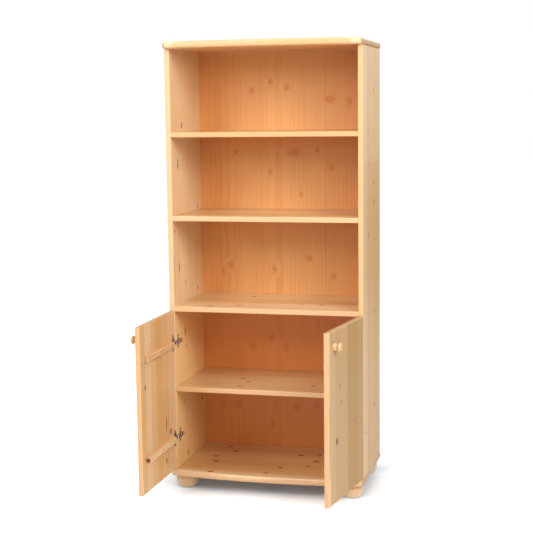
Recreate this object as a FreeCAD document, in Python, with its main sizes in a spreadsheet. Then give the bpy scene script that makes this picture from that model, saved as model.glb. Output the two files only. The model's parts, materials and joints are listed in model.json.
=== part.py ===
import FreeCAD
import Part
import Sketcher
import math
import os

Vector = FreeCAD.Vector
Rotation = FreeCAD.Rotation
Placement = FreeCAD.Placement

# Driving dimensions of the bookcase in millimetres and degrees.
SIZES = {
    # carcass
    "carcass_width": 790.0,
    "carcass_depth": 410.0,
    "overall_height": 1800.0,
    "side_thickness": 20.0,
    "shelf_thickness": 20.0,
    "plank_thickness": 28.0,
    "cabinet_shelf_top": 421.0,
    "cabinet_top_height": 750.0,
    "middle_shelf_top": 1115.0,
    "upper_shelf_top": 1447.0,
    "cabinet_shelf_setback": 1.0,
    "arris_radius": 2.5,
    # bow-fronted top and base
    "end_overhang": 3.0,
    "front_overhang": 26.0,
    "bow_rise": 26.0,
    "corner_radius": 24.0,
    "nose_radius": 11.0,
    # back panel in its rebate
    "rebate_width": 10.0,
    "rebate_depth": 10.0,
    "back_thickness": 4.0,
    "back_clearance": 0.5,
    "nail_radius": 0.9,
    "nail_length": 18.0,
    "nail_head_radius": 2.6,
    "nail_head_height": 0.8,
    # bun feet
    "foot_height": 54.0,
    "foot_diameter": 97.0,
    "foot_sole_diameter": 62.0,
    "foot_top_diameter": 88.0,
    "foot_belly_height": 33.0,
    "foot_side_inset": 54.0,
    "foot_front_inset": 34.0,
    "foot_back_inset": 54.0,
    "stud_radius": 4.0,
    "stud_in_foot": 24.0,
    "stud_in_base": 18.0,
    # dowels
    "dowel_radius": 4.0,
    "dowel_length": 30.0,
    "dowel_in_side": 12.0,
    "dowel_edge_inset": 60.0,
    "fit_clearance": 0.05,
    "hole_spare": 0.5,
    # doors
    "door_thickness": 20.0,
    "door_gap": 2.5,
    "door_reveal": 1.0,
    "meeting_gap": 3.0,
    "door_foot_clearance": 3.0,
    "door_top_drop": 15.0,
    "door_outer_round": 6.0,
    "door_inner_round": 3.5,
    "left_door_angle": 91.0,
    "right_door_angle": 81.0,
    # battens across the inside of a door
    "batten_height": 24.0,
    "batten_thickness": 15.0,
    "batten_round": 3.0,
    "batten_gap": 3.5,
    "batten_end_inset": 37.0,
    "batten_screw_inset": 28.0,
    # turned knob
    "knob_edge_inset": 52.0,
    "knob_drop": 58.0,
    "knob_foot_radius": 12.5,
    "knob_foot_swell": 2.0,
    "knob_foot_height": 10.0,
    "knob_cove_radius": 6.0,
    "knob_neck_radius": 7.0,
    "knob_neck_height": 15.5,
    "knob_cheek_radius": 9.0,
    "knob_head_radius": 15.0,
    "knob_belly_height": 24.0,
    "knob_height": 34.0,
    # cup hinges
    "hinge_inset": 130.0,
    "pivot_out": 10.0,
    "pivot_forward": 13.0,
    "pin_radius": 1.25,
    "pin_length": 14.8,
    "pin_clearance": 0.05,
    "cup_radius": 17.5,
    "cup_depth": 14.25,
    "cup_edge_distance": 3.5,
    "cup_clearance": 0.1,
    "cup_mouth_width": 12.0,
    "cup_mouth_start": 3.4,
    "cup_mouth_end": 26.5,
    "cup_floor": 1.0,
    "flange_thickness": 1.0,
    "flange_reach": 19.5,
    "flange_trim": 4.0,
    "flange_half_width": 10.0,
    "wing_half_length": 30.0,
    "wing_half_width": 7.0,
    "wing_round": 8.0,
    "cup_screw_offset": 6.0,
    "cup_screw_spacing": 48.0,
    "arm_sheet": 2.0,
    "arm_height": 12.0,
    "arm_bend_radius": 4.0,
    "arm_neck_width": 9.0,
    "arm_width": 13.0,
    "arm_wall": 1.3,
    "arm_flange_clearance": 3.0,
    "arm_setback": 4.0,
    "arm_end": 60.0,
    "eye_radius": 2.5,
    "plate_thickness": 2.5,
    "plate_setback": 37.0,
    "plate_half_length": 24.0,
    "plate_half_width": 7.0,
    "plate_screw_spacing": 32.0,
    "rail_width": 10.0,
    "rail_half_length": 19.0,
    "arm_screw_spacing": 26.0,
    # screws
    "screw_radius": 1.75,
    "screw_head_radius": 3.6,
    "screw_head_height": 1.6,
    "screw_length": 13.0,
    "batten_screw_length": 26.0,
    "counterbore_spare": 0.15,
    "knob_screw_in_knob": 14.0,
}

doc = FreeCAD.newDocument("bookcase")
sheet = doc.addObject("Spreadsheet::Sheet", "dim")
for row, (alias, size) in enumerate(SIZES.items(), start=1):
    sheet.set(f"A{row}", alias)
    sheet.set(f"B{row}", str(size))
    sheet.setAlias(f"B{row}", alias)
doc.recompute()

# Places shared by several pieces, as expressions over the sheet.
INNER_X = "(dim.carcass_width / 2 - dim.side_thickness)"
FRONT_Y = "(-dim.carcass_depth / 2)"
REAR_Y = "(dim.carcass_depth / 2)"
BACK_FACE_Y = f"({REAR_Y} - dim.rebate_depth)"
BASE_TOP = "(dim.foot_height + dim.plank_thickness)"
TOP_UNDERSIDE = "(dim.overall_height - dim.plank_thickness)"
DOWEL_HOLE = "(dim.dowel_radius + dim.fit_clearance)"
DOWEL_IN_SHELF = "(dim.dowel_length - dim.dowel_in_side)"
DOWEL_ROWS = [f"{FRONT_Y} + dim.dowel_edge_inset", f"{BACK_FACE_Y} - dim.dowel_edge_inset"]
SIDE_MIDDLE_X = f"({INNER_X} + dim.side_thickness / 2)"
SHELF_TOPS = {
    "upper_shelf": "dim.upper_shelf_top",
    "middle_shelf": "dim.middle_shelf_top",
    "cabinet_top_shelf": "dim.cabinet_top_height",
    "cabinet_shelf": "dim.cabinet_shelf_top",
}
FOOT_PLACES = {
    "front_left_foot": (-1, f"{FRONT_Y} + dim.foot_front_inset"),
    "front_right_foot": (1, f"{FRONT_Y} + dim.foot_front_inset"),
    "rear_left_foot": (-1, f"{REAR_Y} - dim.foot_back_inset"),
    "rear_right_foot": (1, f"{REAR_Y} - dim.foot_back_inset"),
}
FOOT_X = "(dim.carcass_width / 2 - dim.foot_side_inset)"

# A door's own frame has its origin on the hinge axis at half the door's height,
# x towards the free edge and y towards the back of the closed door.
DOOR_BOTTOM = f"({BASE_TOP} + dim.door_foot_clearance)"
DOOR_TOP = "(dim.cabinet_top_height - dim.door_top_drop)"
DOOR_HEIGHT = f"({DOOR_TOP} - {DOOR_BOTTOM})"
DOOR_WIDTH = "(dim.carcass_width / 2 - dim.door_reveal - dim.meeting_gap / 2)"
DOOR_EDGE_X = "(dim.pivot_out - dim.side_thickness + dim.door_reveal)"
DOOR_FREE_X = f"({DOOR_EDGE_X} + {DOOR_WIDTH})"
DOOR_INNER_Y = "(dim.pivot_forward - dim.door_gap)"
DOOR_OUTER_Y = f"({DOOR_INNER_Y} - dim.door_thickness)"
HINGE_Z = f"({DOOR_HEIGHT} / 2 - dim.hinge_inset)"
CUP_X = f"({DOOR_EDGE_X} + dim.cup_edge_distance + dim.cup_radius)"
CUP_SCREW_X = f"({CUP_X} + dim.cup_screw_offset)"
BATTEN_START = f"({CUP_X} + dim.flange_reach + dim.batten_gap)"
BATTEN_END = f"({DOOR_FREE_X} - dim.batten_end_inset)"
BATTEN_FACE_Y = f"({DOOR_INNER_Y} + dim.batten_thickness)"
BATTEN_SCREW_XS = [
    f"{BATTEN_START} + dim.batten_screw_inset",
    f"({BATTEN_START} + {BATTEN_END}) / 2",
    f"{BATTEN_END} - dim.batten_screw_inset",
]
KNOB_X = f"({DOOR_FREE_X} - dim.knob_edge_inset)"
KNOB_Z = f"({DOOR_HEIGHT} / 2 - dim.knob_drop)"
WEB_OUTER_X = "(dim.pivot_out + dim.arm_height)"
WEB_INNER_X = f"({WEB_OUTER_X} - dim.arm_sheet)"
PLATE_Y = "(dim.pivot_forward + dim.plate_setback)"
ARM_START_Y = "(dim.pivot_forward + dim.arm_setback)"
ARM_END_Y = "(dim.pivot_forward + dim.arm_end)"
ARM_SCREW_YS = [f"{PLATE_Y} - dim.arm_screw_spacing / 2", f"{PLATE_Y} + dim.arm_screw_spacing / 2"]
PLATE_SCREW_ZS = ["-dim.plate_screw_spacing / 2", "dim.plate_screw_spacing / 2"]
SCREW_HOLE = "(dim.screw_radius + dim.fit_clearance)"
HEAD_HOLE = "(dim.screw_head_radius + dim.counterbore_spare)"

pieces = []


def value(expression):
    """The number that an expression over the sheet gives."""
    return float(sheet.evalExpression(str(expression)))


def keep(obj, label):
    """Label an object as a finished piece of the bookcase."""
    obj.Label = label
    pieces.append(obj)
    return obj


def bind_base(obj, x="0", y="0", z="0"):
    """Tie the three coordinates of an object's place to the sheet."""
    for axis, expression in zip("xyz", (x, y, z)):
        obj.setExpression(f"Placement.Base.{axis}", expression)


def new_body(name):
    return doc.addObject("PartDesign::Body", name)


def new_sketch(body, plane, level):
    """An empty sketch on one of the body's origin planes, moved along its normal to level."""
    sketch = body.newObject("Sketcher::SketchObject", "Sketch")
    role = {"X": "YZ_Plane", "Y": "XZ_Plane", "Z": "XY_Plane"}[plane]
    support = next(f for f in body.Origin.OriginFeatures if f.Role == role)
    sketch.AttachmentSupport = [(support, "")]
    sketch.MapMode = "FlatFace"
    sign = "-1" if plane == "Y" else "1"
    sketch.setExpression("AttachmentOffset.Base.z", f"{sign} * ({level})")
    return sketch


def fix_point(sketch, geometry, end, point):
    """Hold one end of a line or arc, or a circle's centre, at two expressions."""
    for kind, axis, expression in (("DistanceX", -2, point[0]), ("DistanceY", -1, point[1])):
        number = value(expression)
        if expression == "0":
            sketch.addConstraint(Sketcher.Constraint("PointOnObject", geometry, end, axis))
            continue
        index = sketch.addConstraint(Sketcher.Constraint(kind, -1, 1, geometry, end, number))
        sketch.setExpression(f"Constraints[{index}]", expression)


def add_arc(sketch, start, end, radius, side):
    """An arc under half a circle; side 1 bulges to the right of the way from start to end."""
    chord = end - start
    half = chord.Length / 2
    rise = radius - math.sqrt(max(radius**2 - half**2, 0.0))
    right = Vector(chord.y, -chord.x, 0).normalize()
    middle = (start + end) * 0.5 + right * (rise * side)
    first, last = (start, end) if side > 0 else (end, start)
    index = sketch.addGeometry(Part.Arc(first, middle, last))
    return (index, 1, 2) if side > 0 else (index, 2, 1)


def outline(body, plane, level, points, arcs=None):
    """A closed sketch through points given as expressions.

    arcs maps a side's number to its radius and to out or in, for a convex or hollow side.
    """
    arcs = arcs or {}
    sketch = new_sketch(body, plane, level)
    corners = [Vector(value(x), value(y), 0) for x, y in points]
    following = corners[1:] + corners[:1]
    area = sum(a.x * b.y - a.y * b.x for a, b in zip(corners, following))
    turn = 1 if area > 0 else -1
    sides = []
    for number, (start, end) in enumerate(zip(corners, following)):
        if number in arcs:
            radius, way = arcs[number]
            side = turn if way == "out" else -turn
            sides.append(add_arc(sketch, start, end, value(radius), side))
        else:
            sides.append((sketch.addGeometry(Part.LineSegment(start, end)), 1, 2))
    for (one, _, tail), (two, head, _) in zip(sides, sides[1:] + sides[:1]):
        sketch.addConstraint(Sketcher.Constraint("Coincident", one, tail, two, head))
    for (geometry, head, _), point in zip(sides, points):
        fix_point(sketch, geometry, head, point)
    for number, (radius, _) in arcs.items():
        arc = sides[number][0]
        index = sketch.addConstraint(Sketcher.Constraint("Radius", arc, value(radius)))
        sketch.setExpression(f"Constraints[{index}]", radius)
    return sketch


def circles(body, plane, level, centres, radius):
    """A sketch of equal circles about centres given as expressions."""
    sketch = new_sketch(body, plane, level)
    for centre in centres:
        middle = Vector(value(centre[0]), value(centre[1]), 0)
        circle = sketch.addGeometry(Part.Circle(middle, Vector(0, 0, 1), value(radius)))
        fix_point(sketch, circle, 3, centre)
        index = sketch.addConstraint(Sketcher.Constraint("Radius", circle, value(radius)))
        sketch.setExpression(f"Constraints[{index}]", radius)
    return sketch


def pad(body, sketch, length):
    feature = body.newObject("PartDesign::Pad", "Pad")
    feature.Profile = sketch
    feature.setExpression("Length", length)
    doc.recompute()
    return feature


def pocket(body, sketch, length, reverse):
    """Cut a sketch out of the body and make sure that material went."""
    before = body.Shape.Volume
    feature = body.newObject("PartDesign::Pocket", "Pocket")
    feature.Profile = sketch
    feature.setExpression("Length", length)
    feature.Reversed = reverse
    doc.recompute()
    if body.Shape.Volume >= before:
        raise RuntimeError(f"a pocket in {body.Name} cuts nothing")
    return feature


def drill(body, axis, level, way, centres, radius, depth):
    """Equal round holes along an axis, from level towards way, which is 1 or -1."""
    reverse = way < 0 if axis == "Y" else way > 0
    return pocket(body, circles(body, axis, level, centres, radius), depth, reverse)


def round_edges(body, radius, chosen):
    """Round the body's edges whose middle and direction pass the chosen test."""
    base = body.Tip
    names = []
    for number, edge in enumerate(base.Shape.Edges, start=1):
        middle = edge.valueAt((edge.FirstParameter + edge.LastParameter) / 2)
        along = edge.tangentAt((edge.FirstParameter + edge.LastParameter) / 2)
        if chosen(middle, along):
            names.append(f"Edge{number}")
    feature = body.newObject("PartDesign::Fillet", "Fillet")
    feature.Base = (base, names)
    feature.setExpression("Radius", radius)
    doc.recompute()
    return feature


def arc_radius(half_chord, rise):
    """The radius of an arc that stands up by rise over twice the half chord."""
    return f"(({half_chord} * {half_chord} + {rise} * {rise}) / (2 * {rise}))"


def near(number, expression):
    return abs(number - value(expression)) < 0.01


def block(name, x, y, z):
    """A board between pairs of expressions along x, y and z, in its own body."""
    body = new_body(name)
    corners = [(x[0], y[0]), (x[1], y[0]), (x[1], y[1]), (x[0], y[1])]
    pad(body, outline(body, "Z", z[0], corners), f"{z[1]} - ({z[0]})")
    return body


def turned(name, points, arcs):
    """A body turned about z from a half profile of radius and height."""
    body = new_body(name)
    sketch = outline(body, "Y", "0", points, arcs)
    feature = body.newObject("PartDesign::Revolution", "Revolution")
    feature.Profile = sketch
    feature.ReferenceAxis = (sketch, ["V_Axis"])
    feature.Angle = 360.0
    doc.recompute()
    return body


TURN_TO = {
    "+X": Rotation(Vector(0, 1, 0), 90),
    "-X": Rotation(Vector(0, 1, 0), -90),
    "+Y": Rotation(Vector(1, 0, 0), -90),
    "-Y": Rotation(Vector(1, 0, 0), 90),
    "+Z": Rotation(),
    "-Z": Rotation(Vector(1, 0, 0), 180),
}


def rod(name, way, start, radius, length):
    """A round bar from a start point towards way."""
    bar = doc.addObject("Part::Cylinder", name)
    bar.Placement = Placement(Vector(), TURN_TO[way])
    bar.setExpression("Radius", radius)
    bar.setExpression("Height", length)
    bind_base(bar, *start)
    return bar


def headed(name, way, seat, head, shank):
    """A screw or nail: a flat head standing on its seat, and a shank driven towards way."""
    opposite = {"+": "-", "-": "+"}[way[0]] + way[1]
    parts = [rod(name + "_head", opposite, seat, *head), rod(name + "_shank", way, seat, *shank)]
    joined = doc.addObject("Part::MultiFuse", name)
    joined.Shapes = parts
    joined.Refine = True
    return joined


def group(label, members):
    """Equal fasteners kept together as one piece of separate solids."""
    together = doc.addObject("Part::Compound", label)
    together.Links = members
    return keep(together, label)


def side_panel(label, hand):
    """A side panel with a rebate for the back and blind holes for the dowels."""
    outer = f"{hand} * dim.side_thickness"
    height = f"({TOP_UNDERSIDE} - {BASE_TOP})"
    body = block(label, ("0", outer), (FRONT_Y, REAR_Y), ("0", height))
    round_edges(body, "dim.arris_radius", lambda m, t: near(m.y, FRONT_Y) and abs(t.z) > 0.9)
    step = f"{hand} * dim.rebate_width"
    rebate = [("0", BACK_FACE_Y), (step, BACK_FACE_Y), (step, REAR_Y), ("0", REAR_Y)]
    pocket(body, outline(body, "Z", height, rebate), height, False)
    shelf_holes = []
    for top in SHELF_TOPS.values():
        middle = f"{top} - dim.shelf_thickness / 2 - {BASE_TOP}"
        shelf_holes += [(row, middle) for row in DOWEL_ROWS]
    drill(body, "X", "0", hand, shelf_holes, DOWEL_HOLE, "dim.dowel_in_side + dim.hole_spare")
    ends = [(f"{hand} * dim.side_thickness / 2", row) for row in DOWEL_ROWS]
    end_depth = "dim.dowel_length / 2 + dim.hole_spare"
    drill(body, "Z", "0", 1, ends, DOWEL_HOLE, end_depth)
    drill(body, "Z", height, -1, ends, DOWEL_HOLE, end_depth)
    plate_holes = []
    for hinge in (f"-{HINGE_Z}", HINGE_Z):
        centre = f"({DOOR_BOTTOM} + {DOOR_TOP}) / 2 - {BASE_TOP} + {hinge}"
        plate_holes += [(f"{FRONT_Y} + dim.plate_setback", f"{centre} + {z}") for z in PLATE_SCREW_ZS]
    drill(body, "X", "0", hand, plate_holes, SCREW_HOLE, "dim.screw_length")
    bind_base(body, f"{hand} * {INNER_X}", "0", BASE_TOP)
    keep(body, label)


def bowed_board(label, height, dowel_face):
    """A top or base board: bowed front, round corners and nose, square rear edge."""
    half = "(dim.carcass_width / 2 + dim.end_overhang)"
    front = f"({FRONT_Y} - dim.front_overhang)"
    bow_radius = arc_radius(half, "dim.bow_rise")
    body = new_body(label)
    corners = [(f"-{half}", front), (half, front), (half, REAR_Y), (f"-{half}", REAR_Y)]
    sketch = outline(body, "Z", "0", corners, {0: (bow_radius, "out")})
    pad(body, sketch, "dim.plank_thickness")
    round_edges(body, "dim.corner_radius", lambda m, t: abs(t.z) > 0.9 and near(m.y, front))
    round_edges(body, "dim.nose_radius", lambda m, t: abs(t.z) < 0.1 and not near(m.y, REAR_Y))
    holes = [(f"{hand} * {SIDE_MIDDLE_X}", row) for hand in (-1, 1) for row in DOWEL_ROWS]
    depth = "dim.dowel_length / 2 + dim.hole_spare"
    level, way = ("0", 1) if dowel_face == "underside" else ("dim.plank_thickness", -1)
    drill(body, "Z", level, way, holes, DOWEL_HOLE, depth)
    bind_base(body, z=height)
    return keep(body, label)


def shelf(label, top, setback):
    """A shelf between the sides, with its front edges eased and its ends drilled for dowels."""
    front = f"({FRONT_Y} + {setback})"
    body = block(label, (f"-{INNER_X}", INNER_X), (front, BACK_FACE_Y), ("0", "dim.shelf_thickness"))
    round_edges(body, "dim.arris_radius", lambda m, t: near(m.y, front) and abs(t.x) > 0.9)
    holes = [(row, "dim.shelf_thickness / 2") for row in DOWEL_ROWS]
    depth = f"{DOWEL_IN_SHELF} + dim.hole_spare"
    drill(body, "X", f"-{INNER_X}", 1, holes, DOWEL_HOLE, depth)
    drill(body, "X", INNER_X, -1, holes, DOWEL_HOLE, depth)
    bind_base(body, z=f"{top} - dim.shelf_thickness")
    keep(body, label)


def shelf_dowels(label, top):
    """The four dowels that join a shelf to the two sides."""
    bars = []
    for way, hand in (("-X", -1), ("+X", 1)):
        for number, row in enumerate(DOWEL_ROWS):
            start = (f"{hand} * ({INNER_X} - {DOWEL_IN_SHELF})", row, f"{top} - dim.shelf_thickness / 2")
            bars.append(rod(f"{label}_{way[1]}{hand + 1}{number}", way, start, "dim.dowel_radius",
                            "dim.dowel_length"))
    group(label, bars)


def end_dowels(label, height):
    """The four upright dowels between the sides' ends and a bowed board."""
    bars = []
    for hand in (-1, 1):
        for number, row in enumerate(DOWEL_ROWS):
            start = (f"{hand} * {SIDE_MIDDLE_X}", row, f"{height} - dim.dowel_length / 2")
            bars.append(rod(f"{label}_{hand + 1}{number}", "+Z", start, "dim.dowel_radius",
                            "dim.dowel_length"))
    group(label, bars)


def back_panel():
    """The thin back lying in the sides' rebates, and the nails through it."""
    half = f"({INNER_X} + dim.rebate_width - dim.back_clearance)"
    rear = f"({BACK_FACE_Y} + dim.back_thickness)"
    height = f"({TOP_UNDERSIDE} - {BASE_TOP} - 2 * dim.back_clearance)"
    body = block("back_panel", (f"-{half}", half), (BACK_FACE_Y, rear), ("0", height))
    bind_base(body, z=f"{BASE_TOP} + dim.back_clearance")
    keep(body, "back_panel")
    head = ("dim.nail_head_radius", "dim.nail_head_height")
    shank = ("dim.nail_radius", "dim.nail_length")
    edge_x = f"({INNER_X} + dim.rebate_width / 2)"
    middles = [f"{top} - dim.shelf_thickness / 2" for top in SHELF_TOPS.values()]
    places = [(f"{hand} * {edge_x}", z) for hand in (-1, 1) for z in middles]
    places += [(f"{hand} * {INNER_X} / 2", z) for hand in (-1, 1) for z in middles]
    nails = []
    for number, (x, z) in enumerate(places):
        nails.append(headed(f"nail_{number}", "-Y", (x, rear, z), head, shank))
    group("back_panel_nails", nails)


def feet():
    """Four turned bun feet, widest above the middle, each with a stud into the base board."""
    sole = "(dim.foot_sole_diameter / 2)"
    belly = "(dim.foot_diameter / 2)"
    crown = "(dim.foot_top_diameter / 2)"
    profile = [
        ("0", "0"),
        (sole, "0"),
        (belly, "dim.foot_belly_height"),
        (crown, "dim.foot_height"),
        ("0", "dim.foot_height"),
    ]
    lower = arc_radius("dim.foot_belly_height", f"({belly} - {sole})")
    upper = arc_radius("(dim.foot_height - dim.foot_belly_height)", f"({belly} - {crown})")
    hole = "(dim.stud_radius + dim.fit_clearance)"
    studs = []
    for label, (hand, y) in FOOT_PLACES.items():
        body = turned(label, profile, {1: (lower, "out"), 2: (upper, "out")})
        drill(body, "Z", "dim.foot_height", -1, [("0", "0")], hole, "dim.stud_in_foot + dim.hole_spare")
        bind_base(body, f"{hand} * {FOOT_X}", y)
        keep(body, label)
        start = (f"{hand} * {FOOT_X}", y, "dim.foot_height - dim.stud_in_foot")
        length = "dim.stud_in_foot + dim.stud_in_base"
        studs.append(rod(f"{label}_stud", "+Z", start, "dim.stud_radius", length))
    group("foot_studs", studs)


def base_board():
    """The base board, also drilled from below for the studs of the feet."""
    body = bowed_board("base_board", "dim.foot_height", "upper face")
    holes = [(f"{hand} * {FOOT_X}", y) for hand, y in FOOT_PLACES.values()]
    hole = "(dim.stud_radius + dim.fit_clearance)"
    drill(body, "Z", "0", 1, holes, hole, "dim.stud_in_base + dim.hole_spare")


def hinge_axis(hand):
    """The point of a door's hinge axis at half the door's height."""
    x = hand * value(f"{INNER_X} + dim.pivot_out")
    y = value(f"{FRONT_Y} - dim.pivot_forward")
    return Vector(x, y, value(f"({DOOR_BOTTOM} + {DOOR_TOP}) / 2"))


def closed_frame(hand):
    """The frame of a closed door; the right one is the left one turned over about y."""
    turn = Rotation() if hand < 0 else Rotation(Vector(0, 1, 0), 180)
    return Placement(hinge_axis(hand), turn)


def open_frame(hand, angle):
    """The frame of a door swung open by an angle about its hinge axis."""
    swing = Rotation(Vector(0, 0, 1), hand * angle)
    return Placement(hinge_axis(hand), swing) * Placement(Vector(), closed_frame(hand).Rotation)


def shifted(frame, x=0.0, y=0.0, z=0.0):
    return frame * Placement(Vector(x, y, z), Rotation())


def hinge_plate(label, frame):
    """A cruciform mounting plate: two screw wings and a raised rail for the arm."""
    body = new_body(label)
    low = f"({PLATE_Y} - dim.plate_half_width)"
    high = f"({PLATE_Y} + dim.plate_half_width)"
    end = "dim.plate_half_length"
    wings = [(low, f"-{end}"), (high, f"-{end}"), (high, end), (low, end)]
    tip = ("dim.wing_round", "out")
    pad(body, outline(body, "X", "dim.pivot_out", wings, {0: tip, 2: tip}), "dim.plate_thickness")
    low = f"({PLATE_Y} - dim.rail_half_length)"
    high = f"({PLATE_Y} + dim.rail_half_length)"
    half = "(dim.rail_width / 2)"
    rail = [(low, f"-{half}"), (high, f"-{half}"), (high, half), (low, half)]
    pad(body, outline(body, "X", "dim.pivot_out", rail), f"{WEB_INNER_X} - dim.pivot_out")
    wing_holes = [(PLATE_Y, z) for z in PLATE_SCREW_ZS]
    plate_face = "dim.pivot_out + dim.plate_thickness"
    drill(body, "X", plate_face, -1, wing_holes, SCREW_HOLE, "dim.plate_thickness")
    rail_holes = [(y, "0") for y in ARM_SCREW_YS]
    rail_depth = f"{WEB_INNER_X} - dim.pivot_out"
    drill(body, "X", WEB_INNER_X, -1, rail_holes, SCREW_HOLE, rail_depth)
    body.Placement = frame
    keep(body, label)


def hinge_arm(label, frame):
    """A bent arm: an eye for the pin, a neck out of the cup and a channel over the rail."""
    body = new_body(label)
    low = "-dim.arm_neck_width / 2"
    pad(body, circles(body, "Z", low, [("0", "0")], "dim.eye_radius"), "dim.arm_neck_width")
    half = "dim.arm_sheet / 2"
    bend = "dim.arm_bend_radius"
    inner_bend = f"({bend} - dim.arm_sheet)"
    neck = [
        ("0", f"-{half}"),
        (f"{WEB_OUTER_X} - {bend}", f"-{half}"),
        (WEB_OUTER_X, f"{bend} - {half}"),
        (WEB_OUTER_X, ARM_END_Y),
        (WEB_INNER_X, ARM_END_Y),
        (WEB_INNER_X, f"{bend} - {half}"),
        (f"{WEB_OUTER_X} - {bend}", half),
        ("0", half),
    ]
    arcs = {1: (bend, "out"), 5: (inner_bend, "in")}
    pad(body, outline(body, "Z", low, neck, arcs), "dim.arm_neck_width")
    foot_x = "(dim.pivot_out + dim.arm_flange_clearance)"
    channel = [
        (foot_x, ARM_START_Y),
        (WEB_OUTER_X, ARM_START_Y),
        (WEB_OUTER_X, ARM_END_Y),
        (foot_x, ARM_END_Y),
    ]
    pad(body, outline(body, "Z", "-dim.arm_width / 2", channel), "dim.arm_width")
    inside = "(dim.arm_width / 2 - dim.arm_wall)"
    hollow = [
        (ARM_START_Y, f"-{inside}"),
        (ARM_END_Y, f"-{inside}"),
        (ARM_END_Y, inside),
        (ARM_START_Y, inside),
    ]
    pocket(body, outline(body, "X", foot_x, hollow), f"{WEB_INNER_X} - {foot_x}", True)
    eye_hole = "dim.pin_radius + dim.pin_clearance"
    drill(body, "Z", low, 1, [("0", "0")], eye_hole, "dim.arm_neck_width")
    screw_holes = [(y, "0") for y in ARM_SCREW_YS]
    drill(body, "X", WEB_OUTER_X, -1, screw_holes, SCREW_HOLE, "dim.arm_sheet")
    body.Placement = frame
    keep(body, label)


def hinge_cup(label, frame):
    """A hinge cup let into the door, with a winged flange, a deep mouth and seats for the pin."""
    body = new_body(label)
    cup = circles(body, "Y", DOOR_INNER_Y, [(CUP_X, "0")], "dim.cup_radius")
    pad(body, cup, "dim.cup_depth")
    face = f"({DOOR_INNER_Y} + dim.flange_thickness)"
    near_edge = "-dim.flange_trim"
    far_edge = f"({CUP_X} + dim.flange_reach)"
    wing_low = f"({CUP_SCREW_X} - dim.wing_half_width)"
    wing_high = f"({CUP_SCREW_X} + dim.wing_half_width)"
    side = "dim.flange_half_width"
    tip = "dim.wing_half_length"
    flange = [
        (near_edge, f"-{side}"),
        (wing_low, f"-{tip}"),
        (wing_high, f"-{tip}"),
        (far_edge, f"-{side}"),
        (far_edge, side),
        (wing_high, tip),
        (wing_low, tip),
        (near_edge, side),
    ]
    tips = {1: ("dim.wing_round", "out"), 5: ("dim.wing_round", "out")}
    pad(body, outline(body, "Y", face, flange, tips), "dim.flange_thickness")
    half = "dim.cup_mouth_width / 2"
    start, end = "-dim.cup_mouth_start", "dim.cup_mouth_end"
    mouth = [(start, f"-{half}"), (end, f"-{half}"), (end, half), (start, half)]
    depth = "dim.cup_depth - dim.cup_floor + dim.flange_thickness"
    pocket(body, outline(body, "Y", face, mouth), depth, True)
    seat = "dim.pin_radius + dim.pin_clearance"
    seat_length = "(dim.pin_length + 2 * dim.pin_clearance)"
    drill(body, "Z", f"-{seat_length} / 2", 1, [("0", "0")], seat, seat_length)
    screws = [(CUP_SCREW_X, f"{sign} * dim.cup_screw_spacing / 2") for sign in (-1, 1)]
    drill(body, "Y", face, -1, screws, SCREW_HOLE, "dim.flange_thickness")
    body.Placement = frame
    keep(body, label)


def door_panel(label, hand, frame):
    """A door board with all edges rounded, drilled for cups, battens, screws and the knob."""
    half = f"({DOOR_HEIGHT} / 2)"
    body = block(label, (DOOR_EDGE_X, DOOR_FREE_X), (DOOR_OUTER_Y, DOOR_INNER_Y), (f"-{half}", half))
    round_edges(body, "dim.door_outer_round", lambda m, t: near(m.y, DOOR_OUTER_Y))
    round_edges(body, "dim.door_inner_round", lambda m, t: near(m.y, DOOR_INNER_Y))
    levels = [f"-{HINGE_Z}", HINGE_Z]
    cup_hole = "dim.cup_radius + dim.cup_clearance"
    cup_depth = "dim.cup_depth + dim.cup_clearance"
    drill(body, "Y", DOOR_INNER_Y, -1, [(CUP_X, z) for z in levels], cup_hole, cup_depth)
    offsets = ["-dim.cup_screw_spacing / 2", "dim.cup_screw_spacing / 2"]
    cup_screws = [(CUP_SCREW_X, f"{z} + {offset}") for z in levels for offset in offsets]
    drill(body, "Y", DOOR_INNER_Y, -1, cup_screws, SCREW_HOLE, "dim.screw_length")
    batten_screws = [(x, z) for z in levels for x in BATTEN_SCREW_XS]
    bite = "dim.batten_screw_length - dim.batten_thickness"
    drill(body, "Y", DOOR_INNER_Y, -1, batten_screws, SCREW_HOLE, bite)
    knob = [(KNOB_X, f"{-hand} * {KNOB_Z}")]
    drill(body, "Y", DOOR_INNER_Y, -1, knob, SCREW_HOLE, "dim.door_thickness")
    body.Placement = frame
    keep(body, label)


def batten(label, frame):
    """A batten across the inside of a door, its showing edges rounded, with sunk screw holes."""
    half = "(dim.batten_height / 2)"
    body = block(label, (BATTEN_START, BATTEN_END), (DOOR_INNER_Y, BATTEN_FACE_Y), (f"-{half}", half))
    round_edges(body, "dim.batten_round", lambda m, t: near(m.y, BATTEN_FACE_Y))
    screws = [(x, "0") for x in BATTEN_SCREW_XS]
    drill(body, "Y", BATTEN_FACE_Y, -1, screws, SCREW_HOLE, "dim.batten_thickness")
    sunk = "dim.screw_head_height + dim.counterbore_spare"
    drill(body, "Y", BATTEN_FACE_Y, -1, screws, HEAD_HOLE, sunk)
    body.Placement = frame
    keep(body, label)


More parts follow.
